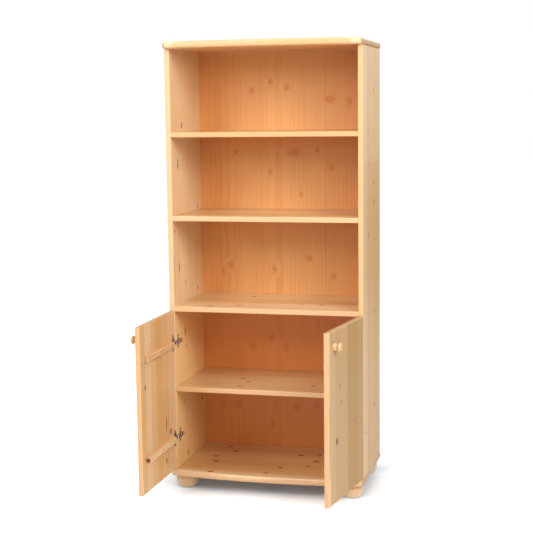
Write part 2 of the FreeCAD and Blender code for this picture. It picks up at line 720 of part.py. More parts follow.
def knob(label, frame):
    """A turned knob: a round-edged foot, a hollow neck and a domed head."""
    crown = "(dim.knob_height - dim.knob_belly_height)"
    dome = arc_radius("dim.knob_head_radius", crown)
    foot_rim = arc_radius("(dim.knob_foot_height / 2)", "dim.knob_foot_swell")
    profile = [
        ("0", "0"),
        ("dim.knob_foot_radius", "0"),
        ("dim.knob_foot_radius", "dim.knob_foot_height"),
        ("dim.knob_neck_radius", "dim.knob_neck_height"),
        ("dim.knob_head_radius", "dim.knob_belly_height"),
        ("0", "dim.knob_height"),
    ]
    arcs = {
        1: (foot_rim, "out"),
        2: ("dim.knob_cove_radius", "in"),
        3: ("dim.knob_cheek_radius", "out"),
        4: (dome, "out"),
    }
    body = turned(label, profile, arcs)
    depth = "dim.knob_screw_in_knob + dim.hole_spare"
    drill(body, "Z", "0", 1, [("0", "0")], SCREW_HOLE, depth)
    body.Placement = frame
    keep(body, label)


SCREW_HEAD = ("dim.screw_head_radius", "dim.screw_head_height")
SHORT_SHANK = ("dim.screw_radius", "dim.screw_length")


def hinge_fasteners(name, hand):
    """The screws of one door's two plates and two arms, as lists of solids on the carcass."""
    plate_screws, arm_screws = [], []
    face = "dim.pivot_out + dim.plate_thickness"
    for level in (f"-{HINGE_Z}", HINGE_Z):
        for offset in PLATE_SCREW_ZS:
            seat = (face, PLATE_Y, f"{level} + {offset}")
            label = f"{name}_plate_screw_{len(plate_screws)}"
            plate_screws.append(headed(label, "-X", seat, SCREW_HEAD, SHORT_SHANK))
        for y in ARM_SCREW_YS:
            shank = ("dim.screw_radius", "dim.arm_height")
            label = f"{name}_arm_screw_{len(arm_screws)}"
            arm_screws.append(headed(label, "-X", (WEB_OUTER_X, y, level), SCREW_HEAD, shank))
    for label, screws in ((f"{name}_plate_screws", plate_screws), (f"{name}_arm_screws", arm_screws)):
        group(label, screws).Placement = closed_frame(hand)


def door_fasteners(name, hand, frame):
    """The screws of one door's cups, battens and knob, and its two hinge pins."""
    cup_screws, batten_screws, pins = [], [], []
    flange_face = f"{DOOR_INNER_Y} + dim.flange_thickness"
    sunk = "(dim.screw_head_height + dim.counterbore_spare)"
    sunk_seat = f"{BATTEN_FACE_Y} - {sunk}"
    batten_shank = ("dim.screw_radius", f"dim.batten_screw_length - {sunk}")
    for level in (f"-{HINGE_Z}", HINGE_Z):
        for sign in (-1, 1):
            seat = (CUP_SCREW_X, flange_face, f"{level} + {sign} * dim.cup_screw_spacing / 2")
            label = f"{name}_cup_screw_{len(cup_screws)}"
            cup_screws.append(headed(label, "-Y", seat, SCREW_HEAD, SHORT_SHANK))
        for x in BATTEN_SCREW_XS:
            label = f"{name}_batten_screw_{len(batten_screws)}"
            batten_screws.append(headed(label, "-Y", (x, sunk_seat, level), SCREW_HEAD, batten_shank))
        start = ("0", "0", f"{level} - dim.pin_length / 2")
        pins.append(rod(f"{name}_pin_{len(pins)}", "+Z", start, "dim.pin_radius", "dim.pin_length"))
    group(f"{name}_cup_screws", cup_screws).Placement = frame
    group(f"{name}_batten_screws", batten_screws).Placement = frame
    group(f"{name}_hinge_pins", pins).Placement = frame
    shank = ("dim.screw_radius", "dim.door_thickness + dim.knob_screw_in_knob")
    seat = (KNOB_X, DOOR_INNER_Y, f"{-hand} * {KNOB_Z}")
    screw = headed(f"{name}_knob_screw_solid", "-Y", seat, SCREW_HEAD, shank)
    group(f"{name}_knob_screw", [screw]).Placement = frame


def door(name, hand, angle):
    """One door with everything that swings with it, and the hinge halves on the carcass."""
    frame = open_frame(hand, angle)
    door_panel(f"{name}_door_panel", hand, frame)
    for place, sign in (("upper", -hand), ("lower", hand)):
        height = sign * value(HINGE_Z)
        batten(f"{name}_{place}_batten", shifted(frame, z=height))
        hinge_cup(f"{name}_{place}_hinge_cup", shifted(frame, z=height))
        hinge_plate(f"{name}_{place}_hinge_plate", shifted(closed_frame(hand), z=height))
        hinge_arm(f"{name}_{place}_hinge_arm", shifted(closed_frame(hand), z=height))
    knob_place = Vector(value(KNOB_X), value(DOOR_OUTER_Y), -hand * value(KNOB_Z))
    knob(f"{name}_knob", frame * Placement(knob_place, TURN_TO["-Y"]))
    hinge_fasteners(name, hand)
    door_fasteners(name, hand, frame)


def check_and_export():
    """Stop on any failed object, then write one file for each piece."""
    doc.recompute()
    for obj in doc.Objects:
        if "Invalid" in obj.State or "Error" in obj.State:
            raise RuntimeError(f"{obj.Label} failed: {obj.State}")
    os.makedirs("parts", exist_ok=True)
    for obj in pieces:
        shape = obj.Shape
        if shape.isNull() or not shape.isValid() or not shape.Solids:
            raise RuntimeError(f"{obj.Label} has no valid shape")
    for obj in pieces:
        obj.Shape.exportStep(f"parts/{obj.Label}.step")


side_panel("left_side_panel", -1)
side_panel("right_side_panel", 1)
bowed_board("top_board", TOP_UNDERSIDE, "underside")
base_board()
for shelf_label, shelf_top in SHELF_TOPS.items():
    set_in = "dim.cabinet_shelf_setback" if shelf_label == "cabinet_shelf" else "0"
    shelf(shelf_label, shelf_top, set_in)
    shelf_dowels(f"{shelf_label}_dowels", shelf_top)
end_dowels("top_dowels", TOP_UNDERSIDE)
end_dowels("base_dowels", BASE_TOP)
back_panel()
feet()
door("left", -1, value("dim.left_door_angle"))
door("right", 1, value("dim.right_door_angle"))
check_and_export()
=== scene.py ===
"""A pine bookcase with two open cabinet doors, dressed over its packed solids."""

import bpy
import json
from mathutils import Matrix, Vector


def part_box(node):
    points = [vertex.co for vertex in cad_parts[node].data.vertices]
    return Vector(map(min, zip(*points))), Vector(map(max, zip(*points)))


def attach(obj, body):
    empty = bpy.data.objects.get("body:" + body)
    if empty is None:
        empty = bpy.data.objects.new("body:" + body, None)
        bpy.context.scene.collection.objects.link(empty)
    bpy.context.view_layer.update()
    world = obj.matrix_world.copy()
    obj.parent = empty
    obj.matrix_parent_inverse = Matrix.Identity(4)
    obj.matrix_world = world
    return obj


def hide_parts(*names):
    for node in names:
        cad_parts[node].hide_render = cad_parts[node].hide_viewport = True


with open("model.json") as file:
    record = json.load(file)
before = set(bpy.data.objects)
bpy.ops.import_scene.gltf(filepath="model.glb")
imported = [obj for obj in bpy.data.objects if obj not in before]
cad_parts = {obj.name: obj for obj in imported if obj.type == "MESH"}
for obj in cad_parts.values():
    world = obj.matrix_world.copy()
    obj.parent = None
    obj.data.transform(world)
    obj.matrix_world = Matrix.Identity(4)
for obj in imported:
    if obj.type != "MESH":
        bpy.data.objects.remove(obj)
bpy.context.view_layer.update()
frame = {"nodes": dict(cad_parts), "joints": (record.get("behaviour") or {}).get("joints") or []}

import json
import math

import bpy
import numpy as np
from bpy.props import FloatProperty, FloatVectorProperty, PointerProperty
from mathutils import Euler, Matrix, Vector

bl_info = {
    "name": "Pine bookcase with cabinet doors",
    "version": (1, 0, 0),
    "blender": (4, 5, 0),
    "location": "View3D > Sidebar > Bookcase",
    "description": "Finishes and turned details of a bow-fronted pine bookcase",
    "category": "Object",
}

SHELVES = ("upper_shelf", "middle_shelf", "cabinet_top_shelf", "cabinet_shelf")
FEET = ("front_left_foot", "front_right_foot", "rear_left_foot", "rear_right_foot")
HANDS = ("left", "right")
LEVELS = ("upper", "lower")

# Directions of a board's width, thickness and length, as columns.
UPRIGHT_SIDE = Matrix(((0, -1, 0), (1, 0, 0), (0, 0, 1)))
UPRIGHT_BACK = Matrix.Identity(3)
LYING = Matrix(((0, 0, 1), (1, 0, 0), (0, 1, 0)))
# Turns from a door's directions to those of its battens, its knob and the screws on its inner face.
TO_BATTEN = Matrix(((0, 0, 1), (0, -1, 0), (1, 0, 0)))
TO_KNOB = Matrix(((1, 0, 0), (0, 0, -1), (0, 1, 0)))
TO_SCREW = Matrix(((1, 0, 0), (0, 0, 1), (0, -1, 0)))

# Knots of each board as (across, along, half width, half length) in mm from the board's middle.
KNOTS = {
    "left_side_panel": (
        (-60, 545, 5, 11), (-180, 125, 4, 7), (-130, -25, 5, 18), (-45, -100, 4, 7), (-70, -300, 5, 15),
        (-55, -365, 4, 6), (-120, 390, 5, 20), (135, 205, 4, 7), (120, -145, 5, 8), (-90, -595, 4, 7),
        (150, -635, 5, 8), (-60, -820, 5, 9)),
    "right_side_panel": (
        (45, 675, 6, 10), (-90, 510, 5, 8), (-45, 390, 5, 7), (40, 310, 6, 10), (55, 230, 7, 12),
        (-85, 110, 6, 9), (50, -215, 6, 10), (60, -605, 6, 9), (-150, -670, 5, 8)),
    "middle_shelf": ((-60, -270, 6, 10), (90, 210, 6, 9)),
    "cabinet_top_shelf": (
        (115, -125, 8, 11), (-130, -125, 7, 10), (-160, -235, 8, 13), (-70, 205, 7, 10), (-50, 115, 5, 8)),
    "cabinet_shelf": ((10, -150, 8, 11), (-60, -110, 7, 9), (-140, -120, 7, 11), (-80, 170, 6, 9)),
    "base_board": (
        (175, -250, 8, 10), (110, -210, 9, 11), (20, -270, 8, 9), (-50, -250, 10, 11),
        (-200, -230, 8, 10), (100, 80, 9, 10), (120, 155, 8, 10), (25, 160, 9, 11), (-55, 140, 7, 9),
        (-90, 35, 8, 10), (-175, -5, 7, 9)),
    "left_door_panel": ((150, 85, 6, 9), (-75, -110, 5, 26), (-125, -155, 8, 11), (-70, -260, 6, 9)),
    "right_door_panel": ((-110, -95, 12, 11), (-75, 105, 5, 7), (-65, 45, 4, 6), (90, -60, 5, 7)),
    "left_lower_batten": ((0, 156, 7, 6),),
    "back_panel": (
        (-65, 720, 8, 13), (5, 695, 10, 12), (-145, 685, 11, 12), (190, 645, 20, 15), (270, 635, 10, 13),
        (-220, 430, 8, 11), (35, 425, 21, 16), (135, 435, 8, 12), (-70, 345, 8, 10), (195, 360, 10, 12),
        (65, 250, 8, 12), (95, -20, 12, 12), (-245, -55, 10, 12), (-285, -85, 8, 10), (-55, -70, 10, 12),
        (200, -95, 10, 12), (-70, -370, 11, 18), (34, -666, 16, 18), (-7, -409, 10, 17),
        (126, -655, 11, 16), (-70, -745, 9, 14), (-291, -665, 8, 12), (-221, -662, 14, 15),
        (-154, -408, 12, 16), (132, -306, 8, 12)),
}
# How much darker (up to 1) or paler (down to -1) a piece's staves are than the mixed stock; the left side
# panel's pale tone is partly painted light on its inner face.
TONES = {"left_side_panel": -0.9, "right_side_panel": 0.2, "left_door_panel": 0.05, "right_door_panel": 0.15,
         "upper_shelf": 0.7, "middle_shelf": -0.1, "cabinet_top_shelf": -0.2, "cabinet_shelf": 0.4,
         "base_board": 0.2, "top_board": -0.2, "batten": -0.4, "foot": -0.1}
# How strongly growth rings show on most pieces, and on those that differ.
MEAN_CONTRAST = 0.45
CONTRASTS = {"left_side_panel": 0.2, "right_side_panel": 0.3, "right_door_panel": 0.75, "base_board": 0.65,
             "cabinet_shelf": 0.55, "middle_shelf": 0.5, "cabinet_top_shelf": 0.55, "top_board": 0.55,
             "foot": 0.8, "knob": 0.22}
# Share of the edge colour on most pieces' long edges, and on those that differ.
MEAN_EDGE = 0.6
EDGES = {"top_board": 0.2, "left_door_panel": 0.9, "right_door_panel": 0.9}
# Share of the end grain's colour on the feet and knobs; boards take all of it.
CUTS = {"foot": 0.0, "knob": 0.3}
# Seed of the first piece in a row of like pieces, and the step to the next.
SEEDS = {"side": (2.3, 5.1), "lying": (1.7, 3.9), "door": (4.6, 7.3), "batten": (7.7, 1.0),
         "foot": (0.9, 1.3), "knob": (5.5, 1.0), "print": (3.4, 0.0), "dowel": (8.8, 0.0)}
# Stave widths in metres of the small stock, wider than its pieces.
BATTEN_STAVE, TURNED_STAVE = 0.2, 0.3

# The logs that staves are cut from: how far their axes lie to the side and behind the face, their slope and
# wander along the board, and how far ripples and knots push the rings, in metres.
LOG_ASIDE, LOG_NEAREST, LOG_BEHIND = 0.16, 0.012, 0.075
LOG_SLOPE, LOG_WANDER = 0.05, 0.035
RING_RIPPLE, KNOT_PUSH = 0.0028, 0.011
# Noise waves in a metre of a board's width, thickness and length, or of the metal's X, Y and Z.
WAVES = {"ripple": (70.0, 70.0, 5.0), "fibre": (820.0, 820.0, 16.0), "cloud": (9.0, 9.0, 2.2),
         "streak": (62.0, 62.0, 1.5), "knot_edge": (160.0, 0.0, 90.0), "scratch": (1500.0, 400.0, 3200.0)}
# Greatest shares of the colours that are laid over the staves, and over the back's print; the share for the
# undersides is painted shade, that for the sides in the cabinet painted warm bounce light, and beside,
# cabinet and below are painted shade on the print.
PINE_SHARES = {"rosy": 0.6, "fibre": 0.16, "joint": 0.22, "rim": 0.6, "heart": 0.97,
               "under": 0.7, "painted_bounce": 0.6}
PRINT_SHARES = {"fibre": 0.12, "joint": 0.35, "rim": 0.25, "heart": 0.36,
                "beside": 0.32, "cabinet": 0.85, "below": 0.75}
# Distance between the printed rings, and the height over which the painted shade on the print fades out below
# a shelf, in metres.
PRINT_PITCH = 0.0075
PAINTED_SHADE_FADES = {"upper_shelf": 0.09, "middle_shelf": 0.16}
# Half the height over which a colour of the cabinet gives way to that above it, in metres.
SOFT_BORDER = 0.03
# Least roughness of each plated finish.
POLISH = {"nickel_steel": 0.06, "zinc_screw": 0.26, "zinc_head": 0.24, "browned_head": 0.3, "nail_steel": 0.3}

# Softboxes as name, setting of the power, azimuth and elevation in degrees, and distance in metres.
SOFTBOXES = (
    ("front_softbox", "front", 8.0, 18.0, 4.6), ("left_softbox", "left", -31.0, 30.0, 4.6),
    ("right_softbox", "side", 50.0, 28.0, 4.6), ("fill_softbox", "fill", 30.0, 30.0, 4.6),
    ("top_softbox", "top", 0.0, 80.0, 3.6), ("rear_softbox", "rear", 172.0, 30.0, 4.6))
# A softbox's side and the height that it is aimed at, in metres.
SOFTBOX_SIDE, AIM_HEIGHT = 2.2, 0.9
# Half the floor's side, and half the width and depth of its shaded part under the bookcase, in metres.
FLOOR_HALF = 30.0
SHADED_HALF = (0.35, 0.19)
WHITE = (1.0, 1.0, 1.0, 1.0)


def colour(label, about, default):
    """A colour setting, in linear light."""
    return FloatVectorProperty(name=label, description=about, subtype="COLOR", size=3, min=0.0, max=1.0,
                               default=default)


def length(label, about, default):
    """A length setting, in metres."""
    return FloatProperty(name=label, description=about, unit="LENGTH", min=0.0, default=default)


def share(label, about, default):
    """A setting from 0 to 1."""
    return FloatProperty(name=label, description=about, subtype="FACTOR", min=0.0, max=1.0, default=default)


def power(label, about, default):
    """A light's power setting, in watts."""
    return FloatProperty(name=label, description=about, unit="POWER", min=0.0, default=default)


class PineFinish(bpy.types.PropertyGroup):
    """Colours and grain of the lacquered pine boards."""

    pale: colour("Pale wood", "Lightest staves, between the grain lines", (0.88, 0.66, 0.39))
    honey: colour("Honey wood", "Darkest staves, between the grain lines", (0.73, 0.435, 0.172))
    tan: colour("Tan wood", "Darkest staves of the darker door", (0.45, 0.255, 0.072))
    rosy: colour("Rosy wood", "Staves with a pink cast", (0.77, 0.475, 0.242))
    late: colour("Late wood", "Dark half of each growth ring", (0.52, 0.27, 0.10))
    edge: colour("Edge wood", "Long edges, where the lacquer soaks in deeper", (0.755, 0.41, 0.195))
    ends: colour("End grain", "Boards' cut ends", (0.48, 0.285, 0.15))
    # Painted shade: faces of the lying boards that look down take this darker colour.
    under: colour("Underside", "Undersides of the lying boards", (0.66, 0.29, 0.105))
    # Painted warm bounce light: the sides' inner faces in the cabinet take this colour.
    painted_bounce: colour("Cabinet wood", "Sides inside the cabinet", (0.97, 0.62, 0.235))
    knot: colour("Knot", "Heart of a knot", (0.12, 0.036, 0.012))
    knot_rim: colour("Knot rim", "Wood round a knot", (0.48, 0.185, 0.06))
    stave_width: length("Stave width", "Mean width of the glued staves", 0.09)
    door_stave: length("Door stave width", "Mean width of the doors' staves", 0.062)
    ring_pitch: length("Ring pitch", "Distance between growth rings", 0.0042)
    gloss: share("Lacquer", "Strength of the clear lacquer on shelves and base", 0.5)
    upright_gloss: share("Satin lacquer", "Strength of the clear lacquer on upright boards and the top", 0.12)
    turned_gloss: share("Turned lacquer", "Strength of the clear lacquer on feet and knobs", 0.7)


class BackFinish(bpy.types.PropertyGroup):
    """Colours of the printed back panel."""

    light: colour("Light print", "Print between the grain lines", (0.86, 0.455, 0.165))
    deep: colour("Deep print", "Darker planks of the print", (0.79, 0.365, 0.11))
    line: colour("Grain line", "Printed grain lines", (0.66, 0.22, 0.045))
    knot: colour("Printed knot", "Printed knots", (0.66, 0.14, 0.012))
    # Painted shade: the darker colour laid on the print where the doors, sides and shelves shade it.
    painted_shade: colour("Unfaded print", "Print that the doors, sides and shelves keep from the light",
                 (0.77, 0.275, 0.062))
    raw: colour("Rear face", "Unprinted brown rear of the sheet", (0.40, 0.26, 0.15))
    speck: colour("Rear specks", "Darker fibres in the rear face", (0.45, 0.15, 0.04))
    plank: length("Plank width", "Width of the printed planks", 0.225)


class MetalFinish(bpy.types.PropertyGroup):
    """Colours of the hinges and fasteners."""

    nickel: colour("Nickel", "Plated hinge steel", (0.56, 0.57, 0.58))
    tarnish: colour("Tarnish", "Dull film in patches of the plating", (0.25, 0.255, 0.265))
    zinc: colour("Zinc", "Plated screws", (0.55, 0.58, 0.62))
    browned: colour("Browned steel", "Dark screws of the battens", (0.10, 0.075, 0.055))


class TurnedSizes(bpy.types.PropertyGroup):
    """Sizes of the lathe-turned feet and knobs."""

    sole: length("Sole diameter", "Flat under a bun foot", 0.062)
    crown: length("Crown diameter", "Flat on top of a bun foot", 0.088)
    belly_height: length("Belly height", "Height of a bun foot's widest line", 0.033)
    ease: length("Eased rim", "Rounding of a turned rim", 0.0015)
    knob_foot: length("Knob foot radius", "Widest line of a knob's domed foot", 0.015)
    knob_rise: length("Knob foot height", "Height at which the domed foot would close", 0.018)
    knob_neck: length("Knob neck radius", "Narrowest line of a knob", 0.0065)
    knob_head: length("Knob head radius", "Widest line of a knob's head", 0.0165)
    knob_half: length("Knob head half height", "Half the height of a knob's head", 0.0085)


class ScrewSizes(bpy.types.PropertyGroup):
    """Sizes of the screws' pan heads and their cross recess."""

    radius: length("Head radius", "Radius of a screw head", 0.0036)
    tall: length("Head height", "Height of a screw head's crown", 0.0016)
    slot: share("Recess width", "Half the width of a recess arm, of the head's radius", 0.16)
    reach: share("Recess reach", "How far a recess arm goes out, of the head's radius", 0.6)
    depth: share("Recess depth", "Depth of the recess, of the head's height", 0.7)
    cup_in: length("Cup screw inset", "Cup screws from the hinge axis, along the door", 0.018)
    cup_half: length("Cup screw spacing", "Cup screws from the hinge's middle, up and down", 0.024)
    plate_half: length("Plate screw spacing", "Plate screws from the hinge's middle, up and down", 0.016)
    arm_half: length("Arm screw spacing", "Arm screws from the plate's middle, to and fro", 0.013)
    batten_end: length("Batten screw inset", "Outer batten screws from the batten's ends", 0.028)


class Studio(bpy.types.PropertyGroup):
    """Camera, lights and floor."""

    eye: FloatVectorProperty(name="Camera", description="Where the camera stands", subtype="XYZ",
                             unit="LENGTH", default=(1.18586, -4.88207, 1.54058))
    ahead: FloatVectorProperty(name="Ahead", description="The camera's line of sight", subtype="DIRECTION",
                               default=(-0.24188, 0.96189, -0.12755))
    right: FloatVectorProperty(name="Right", description="The camera's right hand", subtype="DIRECTION",
                               default=(0.97012, 0.24233, -0.01221))
    lens: FloatProperty(name="Lens", description="Focal length in millimetres", default=83.535)
    floor: colour("Floor", "Paper floor", (0.91, 0.945, 0.98))
    # Painted shade colour: the floor under the bookcase is tinted bluer to cool its shade.
    floor_shade: colour("Shaded floor", "Paper floor under the bookcase", (0.66, 0.83, 1.0))
    room: share("Room light", "Strength of the white surroundings as a light", 0.12)
    front: power("Front light", "Power of the front softbox", 13.0)
    left: power("Left light", "Power of the left softbox", 118.0)
    side: power("Right light", "Power of the right softbox", 121.0)
    fill: power("Fill light", "Power of the softbox by the camera", 41.0)
    rear: power("Rear light", "Power of the softbox behind", 45.0)
    top: power("Top light", "Power of the overhead softbox", 34.0)


GROUPS = {"bookcase_pine": PineFinish, "bookcase_back": BackFinish, "bookcase_metal": MetalFinish,
          "bookcase_turned": TurnedSizes, "bookcase_screws": ScrewSizes, "bookcase_studio": Studio}


class Nodes:
    """Adds shader nodes to a tree; a value is another node's output or a constant."""

    def __init__(self, tree):
        self.tree = tree

    def add(self, kind, inputs=None, **settings):
        node = self.tree.nodes.new(kind)
        for name, setting in settings.items():
            setattr(node, name, setting)
        for key, given in (inputs or {}).items():
            self.feed(node.inputs[key], given)
        return node

    def feed(self, socket, given):
        if isinstance(given, bpy.types.NodeSocket):
            self.tree.links.new(given, socket)
        elif socket.type == "RGBA" and len(given) == 3:
            socket.default_value = (*given, 1.0)
        else:
            socket.default_value = given

    def row(self, kind, given, **settings):
        """The outputs of a new node whose inputs are fed in order."""
        node = self.add(kind, **settings)
        for socket, one in zip(node.inputs, given):
            self.feed(socket, one)
        return node.outputs

    def math(self, operation, *given):
        return self.row("ShaderNodeMath", given, operation=operation)[0]

    def plus(self, first, second, times):
        """first + second * times."""
        return self.math("ADD", first, self.math("MULTIPLY", second, times))

    def vector(self, operation, *given):
        outputs = self.row("ShaderNodeVectorMath", given, operation=operation)
        return outputs["Value" if operation in ("LENGTH", "DOT_PRODUCT") else "Vector"]

    def scaled(self, place, factors):
        return self.vector("MULTIPLY", place, factors)

    def ramp(self, given, low, high, start=0.0, end=1.0):
        """A smooth step of given from start at low to end at high."""
        span = (given, low, high, start, end)
        return self.row("ShaderNodeMapRange", span, interpolation_type="SMOOTHSTEP")["Result"]

    def noise(self, place, scale=1.0, detail=2.0, roughness=0.5):
        inputs = {"Vector": place, "Scale": scale, "Detail": detail, "Roughness": roughness}
        return self.add("ShaderNodeTexNoise", inputs).outputs["Fac"]

    def mix(self, factor, first, second):
        """The first colour, giving way to the second as factor goes from 0 to 1."""
        node = self.add("ShaderNodeMix", data_type="RGBA")
        for index, given in ((0, factor), (6, first), (7, second)):
            self.feed(node.inputs[index], given)
        return node.outputs[2]

    def laid(self, mask, most, body, over):
        """A colour laid over the body to the share mask times most."""
        return self.mix(self.math("MULTIPLY", mask, most), body, over)

    def parts(self, place):
        return self.add("ShaderNodeSeparateXYZ", {"Vector": place}).outputs

    def joined(self, x, y, z):
        return self.add("ShaderNodeCombineXYZ", {"X": x, "Y": y, "Z": z}).outputs[0]

    def coordinates(self, kind="Object"):
        return self.add("ShaderNodeTexCoord").outputs[kind]


def new_group(name, inputs, outputs):
    """An empty node group with vector and value inputs, value outputs and its two end nodes."""
    tree = bpy.data.node_groups.new(name, "ShaderNodeTree")
    for label in inputs:
        kind = "NodeSocketVector" if label in ("Place", "Centre", "Half") else "NodeSocketFloat"
        tree.interface.new_socket(label, in_out="INPUT", socket_type=kind)
    for label in outputs:
        tree.interface.new_socket(label, in_out="OUTPUT", socket_type="NodeSocketFloat")
    nodes = Nodes(tree)
    return tree, nodes, nodes.add("NodeGroupInput").outputs, nodes.add("NodeGroupOutput").inputs


def knot_group():
    """One knot: an ellipse of half sizes Half about Centre, the same through the board's thickness.

    With d the distance in half sizes, its edge wandering a little, Heart is 1 inside d = 1, Rim fades
    out to d = 2 and Push, which bends the grain lines round it, to d = 3.5.
    """
    found = bpy.data.node_groups.get("pine_knot")
    if found:
        return found
    tree, n, given, out = new_group("pine_knot", ("Place", "Centre", "Half", "Wander"),
                                    ("Heart", "Rim", "Push"))
    off = n.vector("DIVIDE", n.vector("SUBTRACT", given["Place"], given["Centre"]), given["Half"])
    d = n.math("MULTIPLY", n.vector("LENGTH", off), given["Wander"])
    rings = n.ramp(n.math("SINE", n.math("MULTIPLY", d, 16.0)), -1.0, 1.0, 0.7, 1.0)
    n.feed(out["Heart"], n.math("MULTIPLY", rings, n.ramp(d, 0.8, 1.1, 1.0, 0.0)))
    n.feed(out["Rim"], n.ramp(d, 0.7, 2.0, 1.0, 0.0))
    n.feed(out["Push"], n.ramp(d, 0.0, 3.5, 1.0, 0.0))
    return tree


def grain_group():
    """Glued staves cut from solid logs, in a board's own width, thickness and length.

    The width is cut into uneven staves. Each has its own random log axis beside or behind the board,
    leaning a little along it; Late is the dark part of the growth ring at the distance from that axis,
    Tone and Tint are random per stave, Fibre is fine lengthwise noise, Joint marks the glue lines and
    Cloud varies slowly over the board.
    """
    found = bpy.data.node_groups.get("pine_staves")
    if found:
        return found
    tree, n, given, out = new_group("pine_staves", ("Place", "Seed", "Stave", "Pitch", "Push"),
                                    ("Late", "Tone", "Tint", "Fibre", "Joint", "Cloud"))
    across, depth, along = n.parts(given["Place"])[:3]
    count = n.math("DIVIDE", across, given["Stave"])
    uneven = n.math("SINE", n.plus(given["Seed"], count, 1.9))
    stave = n.math("ADD", count, n.plus(given["Seed"], uneven, 0.14))
    number = n.math("FLOOR", stave)
    inside = n.math("SUBTRACT", n.math("SUBTRACT", stave, number), 0.5)
    dice = n.add("ShaderNodeTexWhiteNoise", {"Vector": n.joined(number, given["Seed"], 0.0)},
                 noise_dimensions="3D").outputs["Color"]
    first, second, third = n.parts(dice)[:3]
    slope = n.math("MULTIPLY", n.math("SUBTRACT", third, 0.5), LOG_SLOPE)
    lean = n.math("MULTIPLY", along, slope)
    drift = n.noise(n.joined(n.math("MULTIPLY", number, 7.0), given["Seed"], n.math("MULTIPLY", along, 2.6)))
    sway = n.plus(lean, drift, LOG_WANDER)
    axis_side = n.plus(sway, n.math("SUBTRACT", first, 0.5), LOG_ASIDE)
    axis_deep = n.plus(LOG_NEAREST, second, LOG_BEHIND)
    beside = n.math("SUBTRACT", n.math("MULTIPLY", inside, given["Stave"]), axis_side)
    behind = n.math("SUBTRACT", depth, axis_deep)
    squares = (n.math("MULTIPLY", side, side) for side in (beside, behind))
    radius = n.math("SQRT", n.math("ADD", *squares))
    ripple = n.noise(n.scaled(given["Place"], WAVES["ripple"]), detail=3.0)
    radius = n.plus(radius, ripple, RING_RIPPLE)
    radius = n.plus(radius, given["Push"], KNOT_PUSH)
    spacing = n.noise(n.joined(n.math("MULTIPLY", radius, 75.0), n.math("MULTIPLY", number, 3.0),
                               given["Seed"]))
    ring = n.plus(n.math("DIVIDE", radius, given["Pitch"]), spacing, 3.0)
    year = n.math("SUBTRACT", ring, n.math("FLOOR", ring))
    rise = n.ramp(year, 0.15, 0.82)
    n.feed(out["Late"], n.math("MULTIPLY", rise, n.ramp(year, 0.86, 1.0, 1.0, 0.0)))
    n.feed(out["Tone"], first)
    n.feed(out["Tint"], n.math("FRACT", n.math("MULTIPLY", n.math("ADD", second, third), 7.3)))
    n.feed(out["Fibre"], n.noise(n.scaled(given["Place"], WAVES["fibre"]), roughness=0.6))
    n.feed(out["Joint"], n.ramp(n.math("ABSOLUTE", inside), 0.488, 0.497))
    n.feed(out["Cloud"], n.noise(n.scaled(given["Place"], WAVES["cloud"])))
    return tree


def new_material(name):
    """A material with only a principled shader and its output."""
    material = bpy.data.materials.new(name)
    material.use_nodes = True
    tree = material.node_tree
    tree.nodes.clear()
    nodes = Nodes(tree)
    shader = nodes.add("ShaderNodeBsdfPrincipled")
    nodes.add("ShaderNodeOutputMaterial", {"Surface": shader.outputs[0]})
    return material, nodes, shader.inputs


def board_place(n, directions, centre):
    """Object coordinates turned into a board's width, thickness and length from its centre."""
    inputs = {"Vector": n.coordinates(), "Location": centre, "Rotation": directions.to_euler()}
    return n.add("ShaderNodeMapping", inputs, vector_type="TEXTURE").outputs[0]


def facing(n, direction):
    """How nearly a face looks along a direction or against it, from 0 to 1."""
    return n.math("ABSOLUTE", n.vector("DOT_PRODUCT", n.coordinates("Normal"), direction))


def add_knots(n, place, knots):
    """Heart, rim and push of all the knots of a board, each as in KNOTS; None where it has no knots."""
    heart = rim = push = None
    if knots:
        wander = n.ramp(n.noise(n.scaled(place, WAVES["knot_edge"]), detail=1.0), 0.0, 1.0, 0.6, 1.4)
    endless = 1000.0
    for measures in knots:
        across, along, half_width, half_length = (one / 1000 for one in measures)
        inputs = {"Place": place, "Centre": (across, 0.0, along), "Half": (half_width, endless, half_length),
                  "Wander": wander}
        knot = n.add("ShaderNodeGroup", inputs, node_tree=knot_group())
        if heart is None:
            heart, rim, push = knot.outputs[:3]
        else:
            heart = n.math("MAXIMUM", heart, knot.outputs["Heart"])
            rim = n.math("MAXIMUM", rim, knot.outputs["Rim"])
            push = n.math("ADD", push, knot.outputs["Push"])
    return heart, rim, push


def seed_of(row, number=0):
    """The seed of a piece by its number in a row of like pieces."""
    first, step = SEEDS[row]
    return first + step * number


